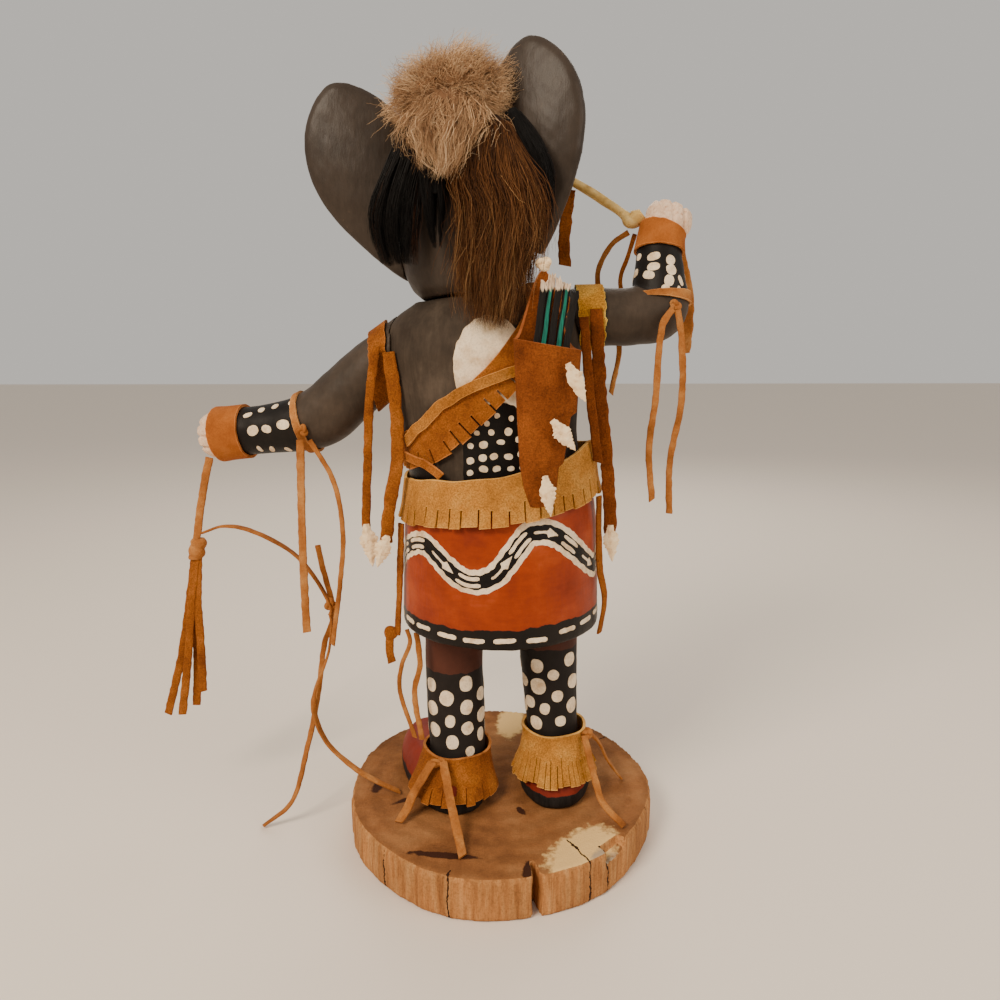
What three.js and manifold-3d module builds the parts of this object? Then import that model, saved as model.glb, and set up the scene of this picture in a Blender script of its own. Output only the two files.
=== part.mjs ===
// A carved and painted kachina doll on a slice of log, dressed in leather, fur and feathers.
// Millimetres, +Z up. +Y is the way the doll faces and +X is the side of its raised right arm.
// The origin is the centre of the log's underside.
import * as THREE from 'three';
import { mergeVertices } from 'three/addons/utils/BufferGeometryUtils.js';
import Module from 'manifold-3d';

const wasm = await Module();
wasm.setup();

// Driving dimensions
const dollHeight = 410; // table to the tip of the right ear
const logRadius = 87;
const logHeight = 23.3;
const kiltRadius = 53.5;
const hemHeight = 124.5;
const waistHeight = 203;
const shoulderHeight = 289;
const legRadius = 16;
const soleHeight = 8.5;
const leather = 1.5; // thickness of the leather
const clearance = 0.3; // air between two pieces that touch
const footLength = 86;
const footWidth = 42;
const earLength = 101;
const earWidth = 54;

const red = 0x8f3a1c;
const paint = {
  grey: { color: 0x47433f, roughness: 0.75 },
  kilt: { color: red, roughness: 0.55 },
  wood: { color: 0xb08a62, roughness: 0.85 },
  suede: { color: 0xa8622a, roughness: 0.95 },
  tan: { color: 0xb98a4a, roughness: 0.95 },
  lace: { color: 0xb07238, roughness: 0.8 },
  fur: { color: 0xb59a80, roughness: 1 },
  brownFur: { color: 0x6b4426, roughness: 1 },
  black: { color: 0x17120f, roughness: 0.7 },
  teal: { color: 0x1f7c6a, roughness: 0.6 },
  bone: { color: 0xe6d6c0, roughness: 0.8 },
  twig: { color: 0xe0c07a, roughness: 0.6 },
};

const doll = new THREE.Group();
const vec = (x, y, z) => new THREE.Vector3(x, y, z);
const up = vec(0, 0, 1);

function add(name, geometry, look) {
  const mesh = new THREE.Mesh(geometry, new THREE.MeshStandardMaterial(look));
  mesh.name = name;
  doll.add(mesh);
}

// A mesh's volume is negative when its faces point inwards.
function volumeOf(position, index) {
  const [a, b, c] = [vec(), vec(), vec()];
  let volume = 0;
  for (let i = 0; i < index.length; i += 3) {
    a.fromArray(position, index[i] * 3);
    b.fromArray(position, index[i + 1] * 3);
    c.fromArray(position, index[i + 2] * 3);
    volume += a.dot(b.cross(c)) / 6;
  }
  return volume;
}

// Skins rings of points, either capped at both ends or joined end to end.
function skin(rings, loop = false) {
  const n = rings[0].length;
  const position = rings.flat().flatMap((p) => [p.x, p.y, p.z]);
  const index = [];
  const steps = loop ? rings.length : rings.length - 1;
  for (let i = 0; i < steps; i++) {
    const a = i * n;
    const b = ((i + 1) % rings.length) * n;
    for (let j = 0; j < n; j++) {
      const k = (j + 1) % n;
      index.push(a + j, a + k, b + k, a + j, b + k, b + j);
    }
  }
  if (!loop) {
    for (const [ring, turn] of [[0, -1], [rings.length - 1, 1]]) {
      const middle = position.length / 3;
      const centre = rings[ring].reduce((sum, p) => sum.add(p), vec(0, 0, 0)).divideScalar(n);
      position.push(centre.x, centre.y, centre.z);
      for (let j = 0; j < n; j++) {
        const pair = [ring * n + j, ring * n + ((j + 1) % n)];
        if (turn < 0) pair.reverse();
        index.push(middle, ...pair);
      }
    }
  }
  if (volumeOf(position, index) < 0) {
    for (let i = 0; i < index.length; i += 3) {
      [index[i], index[i + 1]] = [index[i + 1], index[i]];
    }
  }
  const geometry = new THREE.BufferGeometry();
  geometry.setAttribute('position', new THREE.Float32BufferAttribute(position, 3));
  geometry.setIndex(index);
  return geometry;
}

function solid(geometry) {
  const bare = geometry.clone();
  bare.deleteAttribute('normal');
  bare.deleteAttribute('uv');
  const merged = mergeVertices(bare, 1e-4);
  return new wasm.Manifold(new wasm.Mesh({
    numProp: 3,
    vertProperties: new Float32Array(merged.attributes.position.array),
    triVerts: new Uint32Array(merged.index.array),
  }));
}

function geometryOf(body) {
  const mesh = body.getMesh();
  const geometry = new THREE.BufferGeometry();
  geometry.setAttribute('position', new THREE.Float32BufferAttribute(mesh.vertProperties, 3));
  geometry.setIndex([...mesh.triVerts]);
  return geometry;
}

// The largest body left when the cutters are taken off a piece.
function cut(piece, ...cutters) {
  let left = solid(piece);
  for (const cutter of cutters) left = left.subtract(solid(cutter));
  const bodies = left.decompose();
  bodies.sort((a, b) => b.volume() - a.volume());
  return geometryOf(bodies[0]);
}

function join(...pieces) {
  return geometryOf(pieces.map(solid).reduce((sum, piece) => sum.add(piece)));
}

// Values between stations, eased so that the surface has no creases.
function between(stations, key, t) {
  const last = stations.length - 1;
  if (t <= stations[0].z) return stations[0][key];
  if (t >= stations[last].z) return stations[last][key];
  const i = stations.findIndex((s, n) => n < last && t <= stations[n + 1].z);
  const [a, b] = [stations[i], stations[i + 1]];
  return THREE.MathUtils.lerp(a[key], b[key], (t - a.z) / (b.z - a.z));
}

// The trunk: torso over kilt. The hips are level and the chest leans towards the left.
const trunk = [
  { z: hemHeight, x: 0.5, rx: kiltRadius, ry: kiltRadius, lean: 0 },
  { z: 150, x: 0.5, rx: 53, ry: 52.6, lean: 0 },
  { z: 178, x: 0.5, rx: 51.8, ry: 51.2, lean: 0.02 },
  { z: 190, x: 0.3, rx: 50.4, ry: 49.2, lean: 0.035 },
  { z: waistHeight - 5, x: 0, rx: 47.6, ry: 43.5, lean: 0.05 },
  { z: waistHeight + 3, x: -2.5, rx: 45.2, ry: 37.6, lean: 0.07 },
  { z: 225, x: -4.5, rx: 45.5, ry: 36.5, lean: 0.09 },
  { z: 250, x: -6, rx: 48, ry: 37.5, lean: 0.1 },
  { z: 272, x: -7.5, rx: 50.5, ry: 38, lean: 0.11 },
  { z: shoulderHeight - 3, x: -8.5, rx: 49, ry: 34, lean: 0.12 },
  { z: shoulderHeight + 4, x: -10, rx: 42, ry: 28, lean: 0.12 },
  { z: shoulderHeight + 8, x: -12, rx: 30, ry: 21, lean: 0.12 },
];

function trunkPoint(angle, z, grow = 0) {
  const s = Object.fromEntries(['x', 'rx', 'ry', 'lean'].map((k) => [k, between(trunk, k, z)]));
  const x = (s.rx + grow) * Math.cos(angle);
  return vec(s.x + x * Math.cos(s.lean), (s.ry + grow) * Math.sin(angle), z + x * Math.sin(s.lean));
}

function trunkBody(grow = 0, sides = 24) {
  const rings = trunk.map(({ z }) => (
    Array.from({ length: sides }, (_, j) => trunkPoint((2 * Math.PI * j) / sides, z, grow))
  ));
  if (grow > 0) rings.push(rings.at(-1).map((p) => p.clone().setZ(p.z + grow)));
  return skin(rings);
}

// A flat band that follows the trunk along a path of [angle in degrees, height].
function band(path, width, { thick = leather, lift = 0.4, steps = 24, loop = false }) {
  const curve = new THREE.CatmullRomCurve3(path.map(([a, z]) => vec(a, z, 0)), false);
  const at = (p, lifted) => {
    const angle = p.x * degrees;
    const around = trunkPoint(angle + 0.02, p.y).sub(trunkPoint(angle - 0.02, p.y)).divideScalar(0.04 / degrees);
    const upward = trunkPoint(angle, p.y + 1.5).sub(trunkPoint(angle, p.y - 1.5)).divideScalar(3);
    const normal = around.clone().cross(upward).normalize();
    return { around, upward, normal, point: trunkPoint(angle, p.y).addScaledVector(normal, lifted) };
  };
  const count = loop ? steps : steps + 1;
  const rings = Array.from({ length: count }, (_, i) => {
    const p = curve.getPointAt(i / steps);
    const way = curve.getTangentAt(i / steps);
    const here = at(p, 0);
    const along = here.around.clone().multiplyScalar(way.x).addScaledVector(here.upward, way.y).normalize();
    const side = here.normal.clone().cross(along);
    const across = (u) => p.clone().add(vec(
      (u * side.dot(here.around)) / here.around.lengthSq(),
      (u * side.dot(here.upward)) / here.upward.lengthSq(),
      0,
    ));
    const shares = [-0.5, 0, 0.5];
    const inner = shares.map((u) => at(across(u * width), lift).point);
    const outer = shares.map((u) => at(across(u * width), lift + thick).point);
    return [...inner, ...outer.reverse()];
  });
  return skin(rings, loop);
}

// A limb along a path, with an oval section at each station: [x, y, z, side radius, depth radius].
function limbRings(stations, grow, sides) {
  const points = stations.map(([x, y, z]) => vec(x, y, z));
  return stations.map(([, , , side, depth], i) => {
    const along = points[Math.min(i + 1, points.length - 1)].clone().sub(points[Math.max(i - 1, 0)]).normalize();
    const behind = vec(0, 1, 0).addScaledVector(along, -along.y).normalize();
    const across = behind.clone().cross(along);
    return Array.from({ length: sides }, (_, j) => {
      const a = (2 * Math.PI * j) / sides;
      return points[i].clone()
        .addScaledVector(across, (side + grow) * Math.cos(a))
        .addScaledVector(behind, (depth + grow) * Math.sin(a));
    });
  });
}

const limb = (stations, { sides = 12 } = {}) => skin(limbRings(stations, 0, sides));

// A limb's own shape with air round it, for cutting its neighbours.
function limbCutter(stations, { grow = clearance, sides = 12 } = {}) {
  const rings = limbRings(stations, grow, sides);
  for (const [end, next] of [[0, 1], [rings.length - 1, rings.length - 2]]) {
    const out = vec(...stations[end]).sub(vec(...stations[next])).normalize();
    rings[end].forEach((p) => p.addScaledVector(out, 1));
  }
  return skin(rings);
}

// A leather band worn round a limb, between two shares of its path.
function sleeve(stations, from, to, { thick = leather, gap = clearance, sides = 12 } = {}) {
  const last = stations.length - 1;
  const places = [from * last, to * last];
  for (let i = Math.ceil(places[0] + 0.05); i < places[1] - 0.05; i++) places.push(i);
  places.sort((a, b) => a - b);
  const rows = (grow) => {
    const rings = limbRings(stations, grow, sides);
    return places.map((place) => {
      const i = Math.min(Math.floor(place), last - 1);
      return rings[i].map((p, j) => p.clone().lerp(rings[i + 1][j], place - i));
    });
  };
  const inner = rows(gap);
  const outer = rows(gap + thick).reverse();
  return skin(Array.from({ length: sides }, (_, j) => [...inner, ...outer].map((row) => row[j])), true);
}

// A band worn upright round a sloping limb: its two edges lie in planes where x + slope * z is constant.
function uprightSleeve(stations, from, to, slope, { thick = leather, gap = clearance, sides = 12 } = {}) {
  const row = (grow, value) => {
    const rings = limbRings(stations, grow, sides);
    return Array.from({ length: sides }, (_, j) => {
      const place = (i) => rings[i][j].x + slope * rings[i][j].z - value;
      const i = stations.findIndex((_s, n) => n < stations.length - 2 && place(n) * place(n + 1) <= 0);
      const share = place(i) / (place(i) - place(i + 1));
      return rings[i][j].clone().lerp(rings[i + 1][j], share);
    });
  };
  const rows = [row(gap, from), row(gap, to), row(gap + thick, to), row(gap + thick, from)];
  return skin(Array.from({ length: sides }, (_, j) => rows.map((r) => r[j])), true);
}

// A flat strip along a path: face is the way its flat side looks, at its start and at its end.
function strip(points, width, thick, face, faceEnd = face, steps = 5) {
  const curve = new THREE.CatmullRomCurve3(points.map((p) => vec(...p)));
  const rings = curve.getSpacedPoints(steps).map((p, i) => {
    const t = i / steps;
    const along = curve.getTangentAt(t);
    const look = vec(...face).lerp(vec(...faceEnd), t);
    const side = along.clone().cross(look).normalize();
    const out = side.clone().cross(along).normalize();
    return [[1, 1], [-1, 1], [-1, -1], [1, -1]].map(([u, v]) => p.clone()
      .addScaledVector(side, (u * width) / 2)
      .addScaledVector(out, (v * thick) / 2));
  });
  return skin(rings);
}

// A thin carved plate: its outline, swollen towards both faces from a rounded edge.
function plate(outline, { edge, front, back, levels = [1, 0.9, 0.6, 0.25] }) {
  const middle = outline.reduce((sum, p) => sum.add(p), new THREE.Vector2()).divideScalar(outline.length);
  const ring = (s, y) => outline.map((p) => vec(
    middle.x + (p.x - middle.x) * s,
    y,
    middle.y + (p.y - middle.y) * s,
  ));
  const swell = (s) => 1 - s * s;
  const faceRings = (sign, bulge) => levels.map((s, i) => {
    const rounding = i === 0 ? 0.5 : 1;
    return ring(i === 0 ? 1 : s, sign * edge * rounding + bulge * swell(s));
  });
  return skin([...faceRings(1, front).reverse(), ...faceRings(-1, back)]);
}

function placed(geometry, { at, turn = 0, lean = 0, nod = 0 }) {
  const matrix = new THREE.Matrix4().makeTranslation(...at)
    .multiply(new THREE.Matrix4().makeRotationZ(turn))
    .multiply(new THREE.Matrix4().makeRotationY(lean))
    .multiply(new THREE.Matrix4().makeRotationX(nod));
  return geometry.clone().applyMatrix4(matrix);
}

// A straight-sided cutter whose outline is drawn in the XZ plane.
function prism(outline, y0, y1) {
  return skin([y0, y1].map((y) => outline.map(([x, z]) => vec(x, y, z))));
}

const degrees = Math.PI / 180;

// The log slice, a little out of round, with its drying cracks and the broken edge at its back right.
function logSlice() {
  const sides = 34;
  const radiusAt = (a) => logRadius
    * (1 + 0.012 * Math.sin(3 * a + 0.8) + 0.008 * Math.sin(7 * a + 2) - 0.012 * Math.cos(2 * a));
  const outline = (scale, z) => Array.from({ length: sides }, (_, j) => {
    const a = (2 * Math.PI * j) / sides;
    return vec(scale * radiusAt(a) * Math.cos(a), scale * radiusAt(a) * Math.sin(a), z);
  });
  const slice = skin([outline(0.992, 0), outline(1, 2), outline(1, logHeight - 2.5), outline(0.985, logHeight)]);
  const crack = (angle, depth, width) => {
    const wedge = prism([[0, -1], [0, logHeight + 1], [depth + 8, logHeight + 1], [depth + 8, -1]], -width / 2, width / 2);
    const far = wedge.attributes.position;
    for (let i = 0; i < far.count; i++) if (far.getX(i) < 1) far.setY(i, far.getY(i) * 0.25);
    wedge.translate(logRadius - depth, 0, 0).rotateZ(angle);
    return wedge;
  };
  const chip = prism([[-10, logHeight - 7], [-8, logHeight + 1], [9, logHeight + 1], [5, logHeight - 5]], -7, 4);
  chip.rotateZ(0.75).translate(58, -61, 0);
  return cut(slice, crack(-79 * degrees, 15, 5), crack(-98 * degrees, 6, 1), crack(-45 * degrees, 7, 1.6), chip);
}

// Feet and legs. Each foot has its middle, the turn of its toe to the left, and the leg above it.
const ground = logHeight + clearance;
const leftLeg = { middle: [-33.5, 4], turn: 19, ankle: [-24, -6, legRadius - 0.4], hip: [-25.6, -1] };
const rightLeg = { middle: [32.5, 10], turn: -4, ankle: [31, -4, legRadius - 2], hip: [27.5, 0] };

function foot({ middle, turn }, grow = 0) {
  const rise = (z, scale) => Array.from({ length: 16 }, (_, j) => {
    const a = (2 * Math.PI * j) / 16;
    const width = Math.sign(Math.cos(a)) * Math.abs(Math.cos(a)) ** 0.85 * (footWidth / 2);
    const reach = Math.sign(Math.sin(a)) * Math.abs(Math.sin(a)) ** 0.9 * (footLength / 2);
    const stretch = reach > 0 ? 0.75 + 0.25 * scale : scale;
    return vec(width * scale + Math.sign(width) * grow, reach * stretch + Math.sign(reach) * grow, z);
  });
  const shoe = [rise(0, 0.97), rise(2, 1), rise(soleHeight, 0.99), rise(soleHeight + 6, 0.92)];
  shoe.push(rise(soleHeight + 13, 0.66).map((p) => p.setZ(p.z - 6 * Math.max(0, p.y / footLength) + grow)));
  return skin(shoe).rotateZ(turn * degrees).translate(middle[0], middle[1], ground);
}

const legStations = ({ ankle: [x, y, r], hip }) => [
  [x - 1, y - 3, ground + 8, r + 1, r + 1],
  [x, y - 1, ground + 24, r, r],
  [x + (hip[0] - x) * 0.4, y * 0.7, ground + 42, r + 0.4, r + 0.2],
  [hip[0], hip[1], hemHeight - 20, legRadius, legRadius],
  [hip[0], hip[1], hemHeight + 6, legRadius + 0.5, legRadius + 0.5],
];

function figure() {
  return join(
    trunkBody(),
    limb(legStations(leftLeg)),
    limb(legStations(rightLeg)),
    foot(leftLeg),
    foot(rightLeg),
  );
}

// Arms: the left one reaches out and down, the right one is bent up at the elbow.
const leftArm = [
  [-43, 1.2, 275, 15.4, 15.4],
  [-66, 4, 258.5, 15.8, 15.5],
  [-81, 6, 246, 16, 15.5],
  [-95, 8, 234.5, 16.2, 15],
  [-110, 10.5, 229.5, 14.4, 14],
  [-128, 14, 226.8, 13.2, 13],
  [-146, 17.5, 224.5, 13, 12.6],
  [-156, 20.1, 223.2, 13.2, 12.4],
  [-162, 21.4, 222.7, 10.5, 10],
];
const rightArm = [
  [37, 0, 285.5, 15.2, 15],
  [53, 0, 286.2, 14.8, 14.8],
  [69, 0.5, 286.6, 14.6, 14.5],
  [82, 2.5, 290, 15.4, 14.6],
  [83, 5.5, 305, 13.4, 13.4],
  [83.5, 9.5, 318.5, 11.6, 11.6],
  [85.5, 13, 330, 10.6, 10.8],
  [89, 15.6, 336.5, 12.6, 12],
  [91.2, 17, 341.4, 11, 10.5],
];

// Three shallow cuts part the four fingers of a fist.
function fist(arm, at, turn, lean) {
  const grooves = [-6.2, 0, 6.2].map((shift) => {
    const groove = new THREE.BoxGeometry(22, 2.2, 1);
    return placed(groove.translate(0, -12.6, shift), { at, turn, lean });
  });
  return cut(arm, ...grooves);
}

const torsoCutter = trunkBody(clearance);
const leftArmSolid = fist(limb(leftArm), [-160, 21, 223], 0.2, 0);
const rightArmSolid = fist(limb(rightArm), [90, 16, 340], 0, Math.PI / 2);

// Head: a wooden mask with a short snout, turned towards the raised arm and tipped to the left.
const headAt = vec(-15, -1, 299);
const headTurn = -16 * degrees;
const headLean = -8 * degrees;

function headForm(grow = 0) {
  const profile = [
    [-1.5, 24, 23], [3, 28.5, 27.5], [11, 31.5, 30], [22, 32.5, 31], [40, 31.5, 31.5],
    [56, 30.5, 31], [68, 27, 28.5], [78, 21, 23], [85, 13, 14], [88, 5.5, 6],
  ];
  const rings = profile.map(([z, rx, ry]) => Array.from({ length: 18 }, (_, j) => {
    const a = (2 * Math.PI * j) / 18;
    return vec((rx + grow) * Math.cos(a), (ry + grow) * Math.sin(a), z);
  }));
  rings[0].forEach((p) => p.setZ(p.z - grow));
  rings.at(-1).forEach((p) => p.setZ(p.z + grow));
  return skin(rings);
}

function snout(grow = 0) {
  return limb([[0, 20, 28, 15, 15], [0, 30, 27, 14, 14], [0, 42, 25, 11.5, 11.5], [0, 52, 23.5, 9.5, 9.5],
    [0, 56, 23, 6.5, 6.5]].map(([x, y, z, s]) => [x, y, z, s + grow, s + grow]), { sides: 8 });
}

function eyes() {
  return [-1, 1].map((side) => {
    const eye = new THREE.SphereGeometry(4.2, 6, 5);
    return eye.scale(1, 0.7, 1).translate(side * 13, 27.6, 50);
  });
}

const onHead = (geometry) => placed(geometry, { at: headAt.toArray(), turn: headTurn, lean: headLean });
const headCutter = onHead(join(headForm(clearance), snout(clearance)));

// One ear, tip down: a plate that is round at the top and tapers to the jaw, hollow in front.
function ear(grow = 0) {
  const outline = Array.from({ length: 20 }, (_, j) => {
    const a = (2 * Math.PI * j) / 20;
    const share = (1 - Math.cos(a)) / 2;
    const half = (earWidth / 2) * Math.max(Math.sin(Math.PI * share ** 1.43), 0) ** 0.57;
    return new THREE.Vector2(Math.sign(Math.sin(a)) * half, share * earLength);
  });
  return plate(outline, { edge: 3.2 + grow, front: -3.5, back: -5.5, levels: [1, 0.93, 0.5] });
}

const leftEarPlace = { at: [-44.1, 3, 303], turn: 4 * degrees, lean: -22.3 * degrees };
const rightEarPlace = { at: [20.5, -8, 316.4], turn: -31 * degrees, lean: -4.2 * degrees };

// Fur and hair, as the soft shapes that they fill.
function tuft(centre, size, lump, seed, detail = 2) {
  const ball = mergeVertices(new THREE.IcosahedronGeometry(1, detail).deleteAttribute('normal').deleteAttribute('uv'));
  const place = ball.attributes.position;
  for (let i = 0; i < place.count; i++) {
    const p = vec(0, 0, 0).fromBufferAttribute(place, i);
    const swell = 1 + lump * Math.sin(5 * p.x + seed) * Math.cos(4 * p.y - seed) * Math.sin(6 * p.z + 2 * seed);
    p.multiplyScalar(swell).multiply(vec(...size)).add(vec(...centre));
    place.setXYZ(i, p.x, p.y, p.z);
  }
  return ball;
}

function lock(stations) {
  const rings = stations.map(([x, y, z, side, depth]) => Array.from({ length: 8 }, (_, j) => {
    const a = (2 * Math.PI * j) / 8;
    return vec(x + side * Math.cos(a), y + depth * Math.sin(a), z);
  }));
  return skin(rings);
}

const topknot = tuft([-24, -11, 387], [31, 20, 25], 0.06, 1);
const furTail = lock([
  [-6, -27, 374, 10, 6], [-5, -35, 362, 15, 8], [-3, -39, 345, 16.5, 8.5], [-2, -39, 325, 15, 8],
  [-2, -39, 306, 12.5, 6.5], [-3.5, -41, 294, 9, 5], [-4, -41.5, 285, 5.5, 3],
]);
const leftHair = lock([
  [-38, -27, 372, 8, 6], [-42, -32, 357, 9.5, 6.5], [-46.5, -33, 345, 10.5, 6], [-50, -33, 331, 11.5, 5.5],
  [-49.8, -33, 319, 10, 4.5], [-48, -33, 312, 7, 3.5],
]);
const centreHair = lock([
  [-31, -33, 364, 6.5, 5], [-31.4, -36, 351, 6.4, 4.5], [-31, -37.5, 340, 5.8, 4], [-30.6, -38, 329, 4.2, 3],
  [-29.6, -37.5, 319, 1.6, 1.6],
]);
const rightHair = lock([
  [8, -22, 374, 6, 5], [15, -28, 360, 8, 5], [19, -27, 344, 7, 4.5], [20, -25, 328, 4.5, 3.5], [18, -24, 316, 2, 2],
]);

// Quiver: a tapering leather pocket with a stepped seam down its right edge, open at the top.
const quiverEdges = [
  { z: 198.5, left: 13.2, right: 22.1, y: -57, depth: 2.9 },
  { z: 207, left: 10.3, right: 25.7, y: -56.2, depth: 3.6 },
  { z: 217, left: 8.4, right: 26.8, y: -55, depth: 4.6 },
  { z: 219, left: 8.2, right: 29, y: -54.8, depth: 4.8 },
  { z: 241, left: 7, right: 32.2, y: -52.8, depth: 6.2 },
  { z: 243, left: 6.9, right: 34.8, y: -52.6, depth: 6.3 },
  { z: 273.5, left: 5.4, right: 36.8, y: -50.4, depth: 8 },
];
const quiverSeam = 3;
const quiverFlap = 33; // rise of its back wall, towards the shoulder
const quiverRimSlope = -0.17;

function quiverRing({ z, left, right, y, depth }, inset, top) {
  const half = (right - left - quiverSeam) / 2;
  const middle = left + half;
  return Array.from({ length: 16 }, (_, j) => {
    const a = (2 * Math.PI * j) / 16;
    const seam = Math.max(0, Math.cos(a)) ** 14 * (inset ? 0 : quiverSeam);
    const x = (half - inset) * Math.cos(a) + seam;
    const rise = top ? quiverRimSlope * x + quiverFlap * Math.max(0, Math.sin(a)) ** 4 : 0;
    return vec(middle + x, y + (depth - inset) * Math.sin(a), z + rise + (top && inset ? 2 : 0));
  });
}

function quiver() {
  const last = quiverEdges.length - 1;
  const outer = quiverEdges.map((edge, i) => quiverRing(edge, 0, i === last));
  const hollow = quiverEdges.map((edge, i) => quiverRing({ ...edge, z: edge.z + (i ? 0 : leather) }, leather, i === last));
  return cut(skin(outer), skin(hollow));
}

// A slat that stands in the quiver.
function slat(index) {
  const foot = vec(11.4 + 3.3 * index, -53 + (index % 2) * 0.8, 238);
  const tip = vec(19.4 + 3.5 * index, -50.4 + (index % 2) * 0.8, [301, 304, 302.5, 300.5, 297][index]);
  return strip([foot.toArray(), tip.toArray()], 3, 2.2, [0, -1, 0], [0, -1, 0], 2);
}

// A chipped stone arrowhead, from its stem to its tip, with its flat side towards -Y.
function arrowhead(stem, tip, width, y) {
  const long = new THREE.Vector2(tip[0] - stem[0], tip[1] - stem[1]);
  const across = new THREE.Vector2(-long.y, long.x).normalize();
  const halves = [[0, 0.22], [0.18, 0.3], [0.33, 0.5], [0.47, 0.47], [0.72, 0.27]];
  const side = (sign) => halves.map(([share, half]) => new THREE.Vector2(...stem)
    .addScaledVector(long, share)
    .addScaledVector(across, sign * half * width));
  const outline = [...side(1), new THREE.Vector2(...tip), ...side(-1).reverse()];
  return plate(outline, { edge: 0.5, front: 1, back: -1, levels: [1, 0.5] }).translate(0, y, 0);
}

// Belt: a stiff leather ring round the top of the kilt, higher at the right, open above the hips.
function belt() {
  const at = (a, share, grow) => {
    const x = (THREE.MathUtils.lerp(52.3, 49.6, share) + grow) * Math.cos(a);
    const y = (THREE.MathUtils.lerp(51.8, 45.5, share) + grow) * Math.sin(a);
    const low = 188.2 + 0.1 * x + 0.0015 * Math.max(0, x) ** 2;
    const flare = 6 * Math.exp(-(((a / degrees - 332) / 16) ** 2));
    const high = 211 + 0.13 * x + 3 * Math.max(0, Math.cos(a)) ** 2 + flare;
    return vec(x, y, THREE.MathUtils.lerp(low, high, share));
  };
  const corners = [[0, 0], [0, leather], [1, leather], [1, 0]];
  return skin(Array.from({ length: 28 }, (_, j) => corners.map(([share, grow]) => (
    at((2 * Math.PI * j) / 28, share, grow)))), true);
}

// Fringed cuff over the ankle, wider at its lower edge and open over the foot.
function ankleCuff(leg, stations) {
  const rings = (grow) => stations.map(([x, y, z, r]) => Array.from({ length: 12 }, (_, j) => {
    const a = (2 * Math.PI * j) / 12;
    return vec(x + (r + grow) * Math.cos(a), y + (r + grow) * Math.sin(a), z);
  }));
  const inner = rings(0);
  inner[0].forEach((p) => p.setZ(p.z - 1));
  inner.at(-1).forEach((p) => p.setZ(p.z + 1));
  return cut(skin(rings(leather)), skin(inner), foot(leg, clearance), limbCutter(legStations(leg)));
}

const back = [0, -1, 0];
const away = [0, 1, 0];
const above = [0, 0, 1];

const knot = (at, size) => tuft(at, size, 0.12, 2, 1);

// Left hand: a thong through the fist, a tassel on its ring knot, and two long laces.
function tassel() {
  const tails = [
    [[-172, 18, 157], [-178, 18.5, 128], [-186, 19, 92], [-196.5, 19, 57]],
    [[-171.5, 17, 157], [-176, 16, 128], [-181, 16, 92], [-187, 16, 58]],
    [[-171, 18.5, 157], [-174, 19.5, 128], [-177, 20, 92], [-179.5, 20, 62]],
    [[-170.5, 17.5, 157], [-172.5, 16.5, 130], [-173, 16.5, 100], [-174, 17, 72]],
  ];
  return join(knot([-171.5, 17.8, 158], [4, 3.6, 5]), ...tails.map((t) => strip(t, 3.6, 1.3, back, back, 4)));
}

// Stick in the right hand, with a knob where it meets the fist.
const stickPath = [[75.5, 17.5, 339.4, 3, 3], [73, 18, 337.6, 4.4, 4.4], [69, 18.8, 336.4, 4.2, 4.2],
  [66.5, 19.2, 338.8, 2.6, 2.6], [53.5, 22, 348, 2.5, 2.5], [40.5, 25, 356, 2.3, 2.3], [22, 29, 366, 2, 2]];

add('base', logSlice(), paint.wood);
add('body', figure(), paint.grey);
add('left_arm', cut(leftArmSolid, torsoCutter), paint.grey);
add('right_arm', cut(rightArmSolid, torsoCutter), paint.grey);
add('head', cut(onHead(join(headForm(), snout(), ...eyes())), torsoCutter), paint.grey);
add('left_ear', cut(placed(ear(), leftEarPlace), headCutter, torsoCutter), paint.grey);
add('right_ear', cut(placed(ear(), rightEarPlace), headCutter, torsoCutter), paint.grey);

const earCutters = [placed(ear(clearance), leftEarPlace), placed(ear(clearance), rightEarPlace)];
const tuftCutter = tuft([-24, -11, 387], [31 + clearance, 20 + clearance, 25 + clearance], 0.06, 1);
add('topknot', cut(topknot, headCutter, ...earCutters), paint.fur);
add('fur_tail', cut(furTail, headCutter, torsoCutter, tuftCutter), paint.brownFur);
const tailCutter = limb([[-6, -26, 377, 11, 7], [-6, -27, 374, 11, 7], [-5, -35, 362, 15.4, 8.4], [-3, -39, 345, 16.9, 8.9],
  [-2, -39, 325, 15.4, 8.4], [-2, -39, 306, 13, 7]]);
add('left_hair', cut(join(leftHair, centreHair), headCutter, tuftCutter, tailCutter, ...earCutters), paint.black);
add('right_hair', cut(rightHair, headCutter, tuftCutter, tailCutter, ...earCutters), paint.black);

const bandolierPath = [[180, 222], [208, 224], [230.5, 227.7], [243, 233.1], [256, 241.3], [268.8, 250.1], [279, 257.5],
  [290, 267], [302, 279], [316, 290], [336, 294.6], [360, 295.6], [384, 294.6], [404, 291], [418, 281], [428, 268],
  [438, 255], [452, 243.5], [470, 235], [492, 228], [512, 223.5], [530, 221.8], [540, 222]];
add('bandolier', cut(band(bandolierPath, 18.5, { steps: 32, lift: 0.8, loop: true }), trunkBody(0.25)), paint.suede);
const strapPath = [[208, 228], [219, 233.5], [229, 238.6], [236, 242.5], [243.5, 247], [253, 250.8], [264, 254.7], [276, 257.8],
  [290, 260.5]];
add('bandolier_strap', band(strapPath, 5.2, { thick: 1.2, lift: 2.8, steps: 9 }), paint.tan);
add('waist_tie', band([[208, 221.5], [219, 219], [231, 215.5], [235, 213], [237.5, 210.8]], 4.2, { thick: 1.2, lift: 4.3, steps: 6 }), paint.suede);
add('belt', belt(), paint.tan);
add('quiver', quiver(), paint.suede);
for (let i = 0; i < 5; i++) add(`arrow_${i + 1}`, slat(i), i % 2 ? paint.teal : paint.black);
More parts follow.
